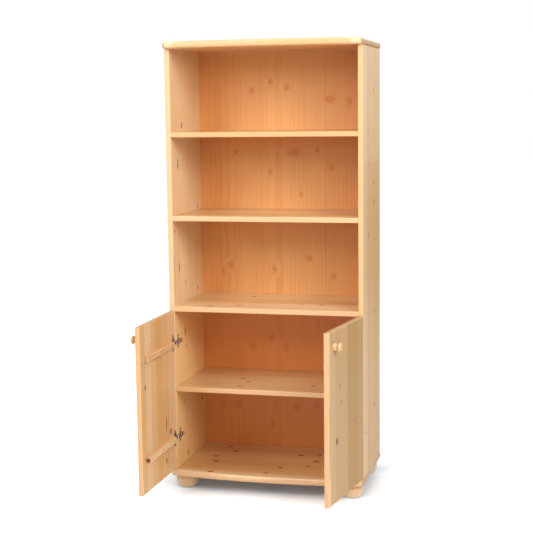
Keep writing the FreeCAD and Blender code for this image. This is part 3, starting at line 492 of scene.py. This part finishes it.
def pine(name, directions, centre, seed, knots=(), tone_shift=0.0, stave=None, contrast=MEAN_CONTRAST,
         gloss=0.0, darkest=None, edge_share=MEAN_EDGE, painted_shading=None, cut_share=1.0):
    """Lacquered pine: stave tones, growth rings, fibres, knots, cut ends and eased edges paled partly by wear
    and partly by a painted highlight, in fine relief.

    The shading tuple, as (direction, top, colour, share), paints light and shade: faces that look that way
    take that share of the colour, up to top along the board, as painted shade on undersides and painted warm
    bounce light in the cabinet.
    """
    finish = bpy.context.scene.bookcase_pine
    material, n, shader = new_material(name)
    place = board_place(n, directions, centre)
    heart, rim, push = add_knots(n, place, knots)
    inputs = {"Place": place, "Seed": seed, "Stave": stave or finish.stave_width,
              "Pitch": finish.ring_pitch, "Push": 0.0 if push is None else push}
    grain = n.add("ShaderNodeGroup", inputs, node_tree=grain_group())
    late, tone, tint, fibre, joint, cloud = grain.outputs[:6]
    darkest = finish.honey if darkest is None else darkest
    body = n.mix(n.ramp(tone, 0.05 - tone_shift, 0.95 - tone_shift), finish.pale, darkest)
    body = n.mix(n.ramp(tint, 0.5, 1.0, 0.0, PINE_SHARES["rosy"]), body, finish.rosy)
    body = n.laid(late, n.ramp(cloud, 0.25, 0.75, contrast * 0.35, contrast), body, finish.late)
    body = n.mix(n.ramp(fibre, 0.45, 0.8, 0.0, PINE_SHARES["fibre"]), body, finish.late)
    streak = n.noise(n.scaled(place, WAVES["streak"]), detail=3.0, roughness=0.65)
    body = n.mix(n.ramp(streak, 0.56, 0.74, 0.0, contrast), body, finish.knot_rim)
    across, through, along = (facing(n, direction) for direction in directions.col)
    body = n.mix(n.ramp(across, 0.6, 0.95, 0.0, edge_share), body, finish.edge)
    cut = n.ramp(along, 0.4, 0.8, 0.0, cut_share)
    body = n.laid(cut, n.ramp(late, 0.0, 1.0, 0.85, 0.6), body, finish.ends)
    flattest = n.math("MAXIMUM", across, n.math("MAXIMUM", through, along))
    # Eased edges turn pale, in patches: partly wear, partly a painted highlight.
    worn_and_highlit = n.math("MULTIPLY", n.ramp(flattest, 0.8, 0.97, 1.0, 0.0), n.ramp(cloud, 0.35, 0.7, 0.05, 0.3))
    body = n.mix(worn_and_highlit, body, finish.pale)
    body = n.laid(joint, PINE_SHARES["joint"], body, finish.late)
    # Painted light and shade: faces looking along the given direction take the given colour, up to the given
    # height.
    if painted_shading:
        direction, top, deep, most = painted_shading
        looks = n.ramp(n.vector("DOT_PRODUCT", n.coordinates("Normal"), direction), 0.3, 0.7)
        low = n.ramp(n.parts(place)["Z"], top - SOFT_BORDER, top + SOFT_BORDER, most, 0.0)
        body = n.laid(looks, low, body, deep)
    if heart is not None:
        body = n.laid(rim, PINE_SHARES["rim"], body, finish.knot_rim)
        body = n.laid(heart, PINE_SHARES["heart"], body, finish.knot)
    n.feed(shader["Base Color"], body)
    dull = n.plus(n.math("MULTIPLY", worn_and_highlit, 0.12), cut, 0.2)
    n.feed(shader["Roughness"], n.math("ADD", dull, n.plus(0.34, fibre, 0.16)))
    shader["Specular IOR Level"].default_value = 0.35
    shader["Coat Weight"].default_value = gloss
    shader["Coat Roughness"].default_value = 0.1
    height = n.plus(n.math("MULTIPLY", fibre, 0.5), late, 0.35)
    height = n.plus(height, joint, -0.8)
    bump = n.add("ShaderNodeBump", {"Height": height, "Strength": 0.25, "Distance": 0.0004})
    n.feed(shader["Normal"], bump.outputs[0])
    return material


def printed_back(centre, knots):
    """The back sheet: printed plank grain on its front, raw brown board on its rear.

    Painted shade deepens the print in the cabinet, beside the sides and just below the shelves whose fades
    are listed.
    """
    finish = bpy.context.scene.bookcase_back
    material, n, shader = new_material("printed_back")
    place = board_place(n, UPRIGHT_BACK, centre)
    heart, rim, push = add_knots(n, place, knots)
    flat = n.scaled(place, (1.0, 0.0, 1.0))
    inputs = {"Place": flat, "Seed": seed_of("print"), "Stave": finish.plank, "Pitch": PRINT_PITCH,
              "Push": push}
    grain = n.add("ShaderNodeGroup", inputs, node_tree=grain_group())
    late, tone, _, fibre, joint, cloud = grain.outputs[:6]
    body = n.mix(n.ramp(tone, 0.1, 0.9), finish.light, finish.deep)
    across, _, height = n.parts(place)[:3]
    # Painted shade: the print takes the darker colour beside the sides, in the cabinet and just below the
    # shelves.
    painted_shade = n.ramp(n.math("ABSOLUTE", across), 0.16, 0.33, 0.0, PRINT_SHARES["beside"])
    cabinet = underside("cabinet_top_shelf") - centre.z
    low = n.ramp(height, cabinet - SOFT_BORDER, cabinet + SOFT_BORDER, PRINT_SHARES["cabinet"], 0.0)
    painted_shade = n.math("MAXIMUM", painted_shade, low)
    for shelf, fade in PAINTED_SHADE_FADES.items():
        under = underside(shelf) - centre.z
        near = n.ramp(height, under - fade, under - 0.01, 0.0, PRINT_SHARES["below"])
        painted_shade = n.math("MAXIMUM", painted_shade, n.math("MULTIPLY", near, n.math("LESS_THAN", height, under)))
    body = n.mix(painted_shade, body, finish.painted_shade)
    body = n.laid(late, n.ramp(cloud, 0.3, 0.7, 0.10, 0.36), body, finish.line)
    body = n.mix(n.ramp(fibre, 0.4, 0.8, 0.0, PRINT_SHARES["fibre"]), body, finish.line)
    body = n.laid(joint, PRINT_SHARES["joint"], body, finish.line)
    body = n.laid(rim, PRINT_SHARES["rim"], body, finish.line)
    body = n.laid(heart, PRINT_SHARES["heart"], body, finish.knot)
    rear = n.ramp(n.parts(n.coordinates("Normal"))["Y"], 0.1, 0.6)
    specks = n.noise(place, scale=700.0, detail=3.0)
    raw = n.mix(n.ramp(specks, 0.3, 0.75), finish.raw, finish.speck)
    n.feed(shader["Base Color"], n.mix(rear, body, raw))
    n.feed(shader["Roughness"], n.plus(n.plus(0.38, fibre, 0.15), rear, 0.35))
    bump = n.add("ShaderNodeBump", {"Height": n.math("ADD", fibre, specks), "Strength": 0.15,
                                    "Distance": 0.0002})
    n.feed(shader["Normal"], bump.outputs[0])
    return material


def plated(name, bright):
    """Plated steel: a thin patchy film, fine scratches and a softly varying gloss."""
    dull = bpy.context.scene.bookcase_metal.tarnish
    material, n, shader = new_material(name)
    place = n.coordinates()
    film = n.noise(place, scale=240.0, detail=4.0, roughness=0.6)
    scratch = n.noise(n.scaled(place, WAVES["scratch"]))
    n.feed(shader["Base Color"], n.mix(n.ramp(film, 0.48, 0.75, 0.0, 0.25), bright, dull))
    shader["Metallic"].default_value = 1.0
    n.feed(shader["Roughness"], n.plus(n.plus(POLISH[name], scratch, 0.1), film, 0.2))
    bump = n.add("ShaderNodeBump", {"Height": scratch, "Strength": 0.12, "Distance": 0.0001})
    n.feed(shader["Normal"], bump.outputs[0])
    return material


def paint(node, material):
    """Gives a CAD node its finish."""
    target = frame["nodes"][node]
    if not target.material_slots:
        target.data.materials.append(material)
    for slot in target.material_slots:
        slot.material = material


def middle_of(node):
    """The middle of a CAD node's box."""
    low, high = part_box(node)
    return (Vector(low) + Vector(high)) / 2


def underside(node):
    """The height of a CAD node's lowest point."""
    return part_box(node)[0][2]


def reach_of(node, directions):
    """The least and the greatest reach of a CAD node along each of three directions."""
    mesh = frame["nodes"][node].data
    points = np.empty(3 * len(mesh.vertices))
    mesh.vertices.foreach_get("co", points)
    along = points.reshape(-1, 3) @ np.array(directions)
    return along.min(axis=0), along.max(axis=0)


def hinge_of(hand):
    """The joint that a door turns on."""
    return next(joint for joint in frame["joints"] if joint["name"] == f"{hand}_door_hinge")


def door_directions(hand):
    """A door's width, thickness and length directions at rest; its joint's range starts at closed."""
    opened = -math.radians(hinge_of(hand)["range_deg"][0])
    return Matrix.Rotation(-opened if hand == "left" else opened, 3, "Z")


def turned_mesh(name, radius, height, directions, foot, steps=96):
    """A profile turned on a lathe: (r cos t, r sin t, h) for each profile point and each angle t.

    The profile runs up the outside from the axis to the axis; its two ends become single poles.
    """
    angle = np.arange(steps) * (2 * math.pi / steps)
    rings = np.stack([np.outer(radius, np.cos(angle)), np.outer(radius, np.sin(angle)),
                      np.repeat(height[:, None], steps, axis=1)], axis=-1)
    poles = np.array([[0.0, 0.0, height[0]], [0.0, 0.0, height[-1]]])
    points = np.concatenate([rings.reshape(-1, 3), poles]) @ np.array(directions).T + np.array(foot)
    index = np.arange(rings.shape[0] * steps).reshape(-1, steps)
    after = np.roll(index, -1, axis=1)
    quads = np.stack([index[:-1], after[:-1], after[1:], index[1:]], axis=-1).reshape(-1, 4)
    low_pole, high_pole = index.size, index.size + 1
    low_fan = np.stack([np.full(steps, low_pole), after[0], index[0]], axis=-1)
    high_fan = np.stack([np.full(steps, high_pole), index[-1], after[-1]], axis=-1)
    mesh = bpy.data.meshes.new(name)
    mesh.from_pydata(points.tolist(), [], quads.tolist() + low_fan.tolist() + high_fan.tolist())
    mesh.shade_smooth()
    mesh.set_sharp_from_angle(angle=math.radians(40))
    return mesh


def head_mesh(name, sizes, seats, directions):
    """Pan screw heads at these seats, all looking along the third direction.

    A square of (u, v) is drawn onto a disc by x = u sqrt(1 - v2/2), y = v sqrt(1 - u2/2), with u2 and v2
    their squares. Its height is a flat dome less a cross whose arms are |u| or |v| below the slot's half
    width; the square's border is the rim's lower edge, closed by one flat face.
    """
    half = np.array([0.0, sizes.slot, sizes.slot * 1.3, 0.4, sizes.reach, sizes.reach + 0.06,
                     0.82, 1.0, 1.02])
    line = np.concatenate([-half[:0:-1], half])
    u, v = (np.clip(side, -1.0, 1.0) for side in np.meshgrid(line, line, indexing="ij"))
    x, y = u * np.sqrt(1 - v ** 2 / 2), v * np.sqrt(1 - u ** 2 / 2)
    dome = 1.0 - 0.55 * (x ** 2 + y ** 2)
    thin, long = np.minimum(np.abs(u), np.abs(v)), np.maximum(np.abs(u), np.abs(v))
    slack = 1.01
    cross = (thin <= sizes.slot * slack) & (long <= sizes.reach * slack)
    border = np.ones(u.shape, bool)
    border[1:-1, 1:-1] = False
    height = np.where(border, 0.0, dome - np.where(cross, sizes.depth, 0.0))
    local = np.stack([x * sizes.radius, y * sizes.radius, height * sizes.tall], axis=-1).reshape(-1, 3)
    turned = local @ np.array(directions).T
    points = (np.array(seats)[:, None, :] + turned[None]).reshape(-1, 3)
    index = np.arange(u.size).reshape(u.shape)
    quads = np.stack([index[:-1, :-1], index[1:, :-1], index[1:, 1:], index[:-1, 1:]], axis=-1).reshape(-1, 4)
    loop = np.concatenate([index[:-1, 0], index[-1, :-1], index[:0:-1, -1], index[0, :0:-1]])[::-1]
    shift = np.arange(len(seats)) * u.size
    faces = (quads[None] + shift[:, None, None]).reshape(-1, 4).tolist()
    mesh = bpy.data.meshes.new(name)
    mesh.from_pydata(points.tolist(), [], faces + (loop[None] + shift[:, None]).tolist())
    mesh.shade_smooth()
    mesh.set_sharp_from_angle(angle=math.radians(35))
    return mesh


def put(name, data):
    """A new object in the scene, at the origin."""
    made = bpy.data.objects.new(name, data)
    bpy.context.scene.collection.objects.link(made)
    return made


def place_piece(name, mesh, material, body, slot, *replaced):
    """Puts a finished mesh into the scene on its body, in place of the CAD nodes it stands for."""
    mesh.materials.append(material)
    piece = put(name, mesh)
    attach(piece, body)
    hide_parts(*replaced)


class BOOKCASE_OT_stage(bpy.types.Operator):
    """Set up the pale floor, the soft lights and the camera."""

    bl_idname = "bookcase.stage"
    bl_label = "Studio stage"

    def execute(self, context):
        studio = context.scene.bookcase_studio
        context.scene.view_settings.view_transform = "Standard"
        world = bpy.data.worlds.new("white_room")
        world.use_nodes = True
        context.scene.world = world
        n = Nodes(world.node_tree)
        background = world.node_tree.nodes["Background"].inputs
        background["Color"].default_value = WHITE
        scattered = n.add("ShaderNodeLightPath").outputs["Is Diffuse Ray"]
        n.feed(background["Strength"], n.ramp(scattered, 0.0, 1.0, 1.0, studio.room))
        self.floor(studio)
        for name, setting, azimuth, elevation, distance in SOFTBOXES:
            self.softbox(name, getattr(studio, setting), azimuth, elevation, distance)
        self.camera(context, studio)
        return {"FINISHED"}

    def floor(self, studio):
        """A square of paper, tinted bluer under the bookcase to cool its shade, with a painted glow that only
        the camera sees, faint by the bookcase and strong away from it.
        """
        mesh = bpy.data.meshes.new("floor")
        corners = ((-1, -1), (1, -1), (1, 1), (-1, 1))
        mesh.from_pydata([(x * FLOOR_HALF, y * FLOOR_HALF, 0) for x, y in corners], [], [(0, 1, 2, 3)])
        material, n, shader = new_material("paper_floor")
        tooth = n.noise(n.coordinates(), scale=300.0, detail=3.0)
        sides = n.parts(n.vector("ABSOLUTE", n.coordinates()))
        away = n.math("MAXIMUM", *(n.math("SUBTRACT", side, edge) for side, edge in zip(sides, SHADED_HALF)))
        n.feed(shader["Base Color"], n.mix(n.ramp(away, -0.02, 0.07), studio.floor_shade, studio.floor))
        shader["Emission Color"].default_value = WHITE
        seen = n.add("ShaderNodeLightPath").outputs["Is Camera Ray"]
        # Painted light: the floor glows to the camera, more the further it is from the bookcase, whitening
        # its shadows.
        n.feed(shader["Emission Strength"], n.math("MULTIPLY", seen, n.ramp(away, 0.0, 0.28, 0.07, 0.85)))
        n.feed(shader["Roughness"], n.ramp(tooth, 0.0, 1.0, 0.75, 0.95))
        mesh.materials.append(material)
        floor = put("floor", mesh)

    def softbox(self, name, watts, azimuth, elevation, distance):
        """A square light aimed at the bookcase's middle, seen from it at these angles in degrees."""
        lamp = bpy.data.lights.new(name, "AREA")
        lamp.energy, lamp.size = watts, SOFTBOX_SIDE
        turn = Euler((math.radians(90 - elevation), 0.0, math.radians(azimuth)))
        away = turn.to_matrix() @ Vector((0.0, 0.0, distance))
        softbox = put(name, lamp)
        softbox.location = Vector((0.0, 0.0, AIM_HEIGHT)) + away
        softbox.rotation_euler = turn
        softbox.visible_camera = False

    def camera(self, context, studio):
        """The camera at its eye point, turned by its line of sight and its right hand."""
        camera = bpy.data.cameras.new("camera")
        camera.lens = studio.lens
        camera.sensor_width = 36.0
        camera.clip_end = 200.0
        ahead = Vector(studio.ahead).normalized()
        right = Vector(studio.right).normalized()
        up = right.cross(ahead)
        turn = Matrix((right, up, -ahead)).transposed()
        eye = put("camera", camera)
        eye.matrix_world = Matrix.Translation(studio.eye) @ turn.to_4x4()
        context.scene.camera = eye


class BOOKCASE_OT_boards(bpy.types.Operator):
    """Finish the sides, the shelves, the top and the base in lacquered pine."""

    bl_idname = "bookcase.boards"
    bl_label = "Carcass boards"

    def execute(self, context):
        finish = context.scene.bookcase_pine
        for number, hand in enumerate(HANDS):
            node = f"{hand}_side_panel"
            inward = (1.0 - 2.0 * number, 0.0, 0.0)
            cabinet = underside("cabinet_top_shelf") - middle_of(node).z
            # The sides' inner faces in the cabinet take painted warm bounce light.
            self.dress(node, UPRIGHT_SIDE, seed_of("side", number), finish.upright_gloss,
                       (inward, cabinet, finish.painted_bounce, PINE_SHARES["painted_bounce"]))
        # Faces that look down take painted shade.
        down, whole = (0.0, 0.0, -1.0), 1.0
        for number, node in enumerate(SHELVES + ("top_board", "base_board")):
            gloss = finish.upright_gloss if node == "top_board" else finish.gloss
            self.dress(node, LYING, seed_of("lying", number), gloss,
                       (down, whole, finish.under, PINE_SHARES["under"]))
        return {"FINISHED"}

    def dress(self, node, directions, seed, gloss, painted_shading):
        """Gives a board its pine, with the knots, tone, contrast and edges of its name, and the given painted
        shading.
        """
        paint(node, pine(f"{node}_pine", directions, middle_of(node), seed, KNOTS.get(node, ()), TONES[node],
                         contrast=CONTRASTS.get(node, MEAN_CONTRAST), gloss=gloss, painted_shading=painted_shading,
                         edge_share=EDGES.get(node, MEAN_EDGE)))


class BOOKCASE_OT_back(bpy.types.Operator):
    """Finish the printed back panel and its nails."""

    bl_idname = "bookcase.back"
    bl_label = "Back panel"

    def execute(self, context):
        metal = context.scene.bookcase_metal
        paint("back_panel", printed_back(middle_of("back_panel"), KNOTS["back_panel"]))
        paint("back_panel_nails", plated("nail_steel", metal.zinc))
        return {"FINISHED"}


class BOOKCASE_OT_doors(bpy.types.Operator):
    """Finish the two doors and the battens across their inside."""

    bl_idname = "bookcase.doors"
    bl_label = "Doors and battens"

    def execute(self, context):
        finish = context.scene.bookcase_pine
        for number, hand in enumerate(HANDS):
            directions = door_directions(hand)
            panel = f"{hand}_door_panel"
            paint(panel, pine(f"{hand}_door_pine", directions, middle_of(panel), seed_of("door", number),
                              KNOTS[panel], TONES[panel], stave=finish.door_stave,
                              contrast=CONTRASTS.get(panel, MEAN_CONTRAST), gloss=finish.upright_gloss,
                              darkest=(finish.honey, finish.tan)[number], edge_share=EDGES[panel]))
            for row, level in enumerate(LEVELS):
                batten = f"{hand}_{level}_batten"
                paint(batten, pine(f"{batten}_pine", directions @ TO_BATTEN, middle_of(batten),
                                   seed_of("batten", number + 2 * row), KNOTS.get(batten, ()),
                                   TONES["batten"], stave=BATTEN_STAVE, gloss=finish.upright_gloss,
                                   darkest=finish.rosy))
        return {"FINISHED"}


class BOOKCASE_OT_feet(bpy.types.Operator):
    """Turn the four bun feet and the two knobs."""

    bl_idname = "bookcase.feet"
    bl_label = "Turned feet and knobs"

    def execute(self, context):
        sizes, finish = context.scene.bookcase_turned, context.scene.bookcase_pine
        for number, node in enumerate(FEET):
            low, high = (np.array(corner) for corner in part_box(node))
            radius, height = self.foot_profile(sizes, (high[0] - low[0]) / 2, high[2] - low[2])
            foot = ((low[0] + high[0]) / 2, (low[1] + high[1]) / 2, low[2])
            mesh = turned_mesh(f"{node}_turned", radius, height, Matrix.Identity(3), foot)
            wood = pine(f"{node}_pine", LYING, Vector(foot), seed_of("foot", number), (), TONES["foot"],
                        stave=TURNED_STAVE, contrast=CONTRASTS["foot"], gloss=finish.turned_gloss,
                        cut_share=CUTS["foot"])
            place_piece(f"{node}_turned", mesh, wood, "carcass", "turned_pine", node)
        for number, hand in enumerate(HANDS):
            self.knob(sizes, finish, hand, seed_of("knob", number))
        return {"FINISHED"}

    def knob(self, sizes, finish, hand, seed):
        """Turns a knob on the axis of its CAD node, from the door's outer face outwards."""
        node = f"{hand}_knob"
        outward = door_directions(hand) @ TO_KNOB
        low, high = reach_of(node, outward)
        foot = outward @ Vector(((low[0] + high[0]) / 2, (low[1] + high[1]) / 2, low[2]))
        radius, height = self.knob_profile(sizes, high[2] - low[2])
        mesh = turned_mesh(f"{node}_turned", radius, height, outward, foot, steps=64)
        wood = pine(f"{node}_pine", outward, foot, seed, stave=TURNED_STAVE, contrast=CONTRASTS["knob"],
                    gloss=finish.turned_gloss, cut_share=CUTS["knob"])
        place_piece(f"{node}_turned", mesh, wood, f"{hand}_door", "turned_pine", node)

    def knob_profile(self, sizes, tall):
        """A half ellipse for the foot, a straight neck and an ellipse for the head, run into each other.

        Below the head's middle, the radius is the three radii's 8-norm, a soft maximum, with an eased rim.
        """
        sharp, tip = 8, 0.0005
        centre = tall - sizes.knob_half
        below = np.linspace(0.0, centre, 41)
        foot = sizes.knob_foot * np.sqrt(np.clip(1 - (below / sizes.knob_rise) ** 2, 0.0, 1.0))
        head = sizes.knob_head * np.sqrt(np.clip(1 - ((below - centre) / sizes.knob_half) ** 2, 0.0, 1.0))
        radius = (foot ** sharp + head ** sharp + sizes.knob_neck ** sharp) ** (1 / sharp)
        to_rim = np.clip(1 - below / sizes.ease, 0.0, 1.0)
        radius = radius - sizes.ease * (1 - np.sqrt(1 - to_rim ** 2))
        turn = np.linspace(0.0, math.pi / 2, 22)[1:-1]
        height = np.concatenate([below, centre + sizes.knob_half * np.sin(turn), [tall]])
        return np.concatenate([radius, radius[-1] * np.cos(turn), [tip]]), height

    def foot_profile(self, sizes, belly, tall):
        """Two arcs upright at the belly, through the sole's and the crown's rims, which are eased."""
        height = tall * (1 - np.cos(np.linspace(0.0, math.pi, 61))) / 2
        below = height < sizes.belly_height
        reach = np.where(below, sizes.belly_height, tall - sizes.belly_height)
        rise = belly - np.where(below, sizes.sole, sizes.crown) / 2
        arc = (reach ** 2 + rise ** 2) / (2 * rise)
        radius = belly - arc + np.sqrt(arc ** 2 - (height - sizes.belly_height) ** 2)
        to_rim = np.clip(1 - np.minimum(height, tall - height) / sizes.ease, 0.0, 1.0)
        return radius - sizes.ease * (1 - np.sqrt(1 - to_rim ** 2)), height


class BOOKCASE_OT_screws(bpy.types.Operator):
    """Set cross-recessed heads in place of the plain screws that show."""

    bl_idname = "bookcase.screws"
    bl_label = "Screw heads"

    def execute(self, context):
        sizes, metal = context.scene.bookcase_screws, context.scene.bookcase_metal
        zinc = plated("zinc_head", metal.zinc)
        brown = plated("browned_head", metal.browned)
        levels = np.array([middle_of(f"left_{level}_hinge_cup").z for level in LEVELS])
        for hand, side in zip(HANDS, (1, -1)):
            self.on_door(sizes, hand, door_directions(hand) @ TO_SCREW, levels, zinc, brown)
            inward = Matrix(((0, 0, side), (side, 0, 0), (0, 1, 0)))
            self.on_side(sizes, hand, inward, levels, zinc)
        return {"FINISHED"}

    def on_door(self, sizes, hand, door, levels, zinc, brown):
        """Heads of a door's cup screws, batten screws and knob screw."""
        origin = np.array(hinge_of(hand)["pos_m"]) @ np.array(door)
        near, far = reach_of(f"{hand}_upper_batten", door)
        thirds = np.linspace(near[0] + sizes.batten_end, far[0] - sizes.batten_end, 3)
        away = 1.0 if abs(near[0] - origin[0]) < abs(far[0] - origin[0]) else -1.0
        self.heads(sizes, f"{hand}_cup_screws", door, f"{hand}_door", zinc, [origin[0] + away * sizes.cup_in],
                   (levels[:, None] + [-sizes.cup_half, sizes.cup_half]).ravel())
        self.heads(sizes, f"{hand}_batten_screws", door, f"{hand}_door", brown, thirds, levels)
        low, high = reach_of(f"{hand}_knob_screw", door)
        self.heads(sizes, f"{hand}_knob_screw", door, f"{hand}_door", zinc, [(low[0] + high[0]) / 2],
                   [(low[1] + high[1]) / 2 * door.col[1].z])

    def on_side(self, sizes, hand, inward, levels, zinc):
        """Heads of a side panel's plate screws and arm screws."""
        middle = [np.mean(reach_of(f"{hand}_plate_screws", inward), axis=0)[0]]
        self.heads(sizes, f"{hand}_plate_screws", inward, "carcass", zinc, middle,
                   (levels[:, None] + [-sizes.plate_half, sizes.plate_half]).ravel())
        self.heads(sizes, f"{hand}_arm_screws", inward, "carcass", zinc,
                   middle + np.array([-sizes.arm_half, sizes.arm_half]), levels)

    def heads(self, sizes, node, directions, body, material, across, heights):
        """Heads at each place across and each height, their crowns level with the CAD heads'."""
        seat = reach_of(node, directions)[1][2] - sizes.tall
        upright = directions.col[1].z
        one, other = (side.ravel() for side in np.meshgrid(across, heights))
        seats = np.stack([one, other * upright, np.full(one.size, seat)], axis=-1) @ np.array(directions).T
        mesh = head_mesh(f"{node}_heads", sizes, seats, directions)
        place_piece(f"{node}_heads", mesh, material, body, "zinc_screw", node)


class BOOKCASE_OT_metal(bpy.types.Operator):
    """Finish the hinges, the hidden fasteners and the hidden dowels."""

    bl_idname = "bookcase.metal"
    bl_label = "Hinges, studs and dowels"

    def execute(self, context):
        metal = context.scene.bookcase_metal
        nickel = plated("nickel_steel", metal.nickel)
        zinc = plated("zinc_screw", metal.zinc)
        for hand in HANDS:
            for level in LEVELS:
                for part in ("cup", "plate", "arm"):
                    paint(f"{hand}_{level}_hinge_{part}", nickel)
            paint(f"{hand}_hinge_pins", zinc)
        paint("foot_studs", zinc)
        dowel = pine("dowel_wood", LYING, Vector(), seed_of("dowel"), stave=TURNED_STAVE)
        for node in SHELVES + ("top", "base"):
            paint(f"{node}_dowels", dowel)
        return {"FINISHED"}


OPERATORS = (BOOKCASE_OT_stage, BOOKCASE_OT_boards, BOOKCASE_OT_back, BOOKCASE_OT_doors, BOOKCASE_OT_feet,
             BOOKCASE_OT_screws, BOOKCASE_OT_metal)


class BOOKCASE_PT_panel(bpy.types.Panel):
    """Lists the bookcase's operators and settings."""

    bl_idname = "BOOKCASE_PT_panel"
    bl_label = "Pine bookcase"
    bl_space_type = "VIEW_3D"
    bl_region_type = "UI"
    bl_category = "Bookcase"

    def draw(self, context):
        for operator in OPERATORS:
            self.layout.operator(operator.bl_idname)
        for name, group in GROUPS.items():
            box = self.layout.box()
            box.label(text=group.__doc__)
            for key in group.__annotations__:
                box.prop(getattr(context.scene, name), key)


def register():
    for group in GROUPS.values():
        bpy.utils.register_class(group)
    for name, group in GROUPS.items():
        setattr(bpy.types.Scene, name, PointerProperty(type=group))
    for one in OPERATORS + (BOOKCASE_PT_panel,):
        bpy.utils.register_class(one)


def unregister():
    for one in (BOOKCASE_PT_panel,) + OPERATORS[::-1]:
        bpy.utils.unregister_class(one)
    for name in GROUPS:
        delattr(bpy.types.Scene, name)
    for group in GROUPS.values():
        bpy.utils.unregister_class(group)


def main():
    register()
    bpy.ops.bookcase.stage()
    bpy.ops.bookcase.boards()
    bpy.ops.bookcase.back()
    bpy.ops.bookcase.doors()
    bpy.ops.bookcase.feet()
    bpy.ops.bookcase.screws()
    bpy.ops.bookcase.metal()


if __name__ == "__main__":
    main()
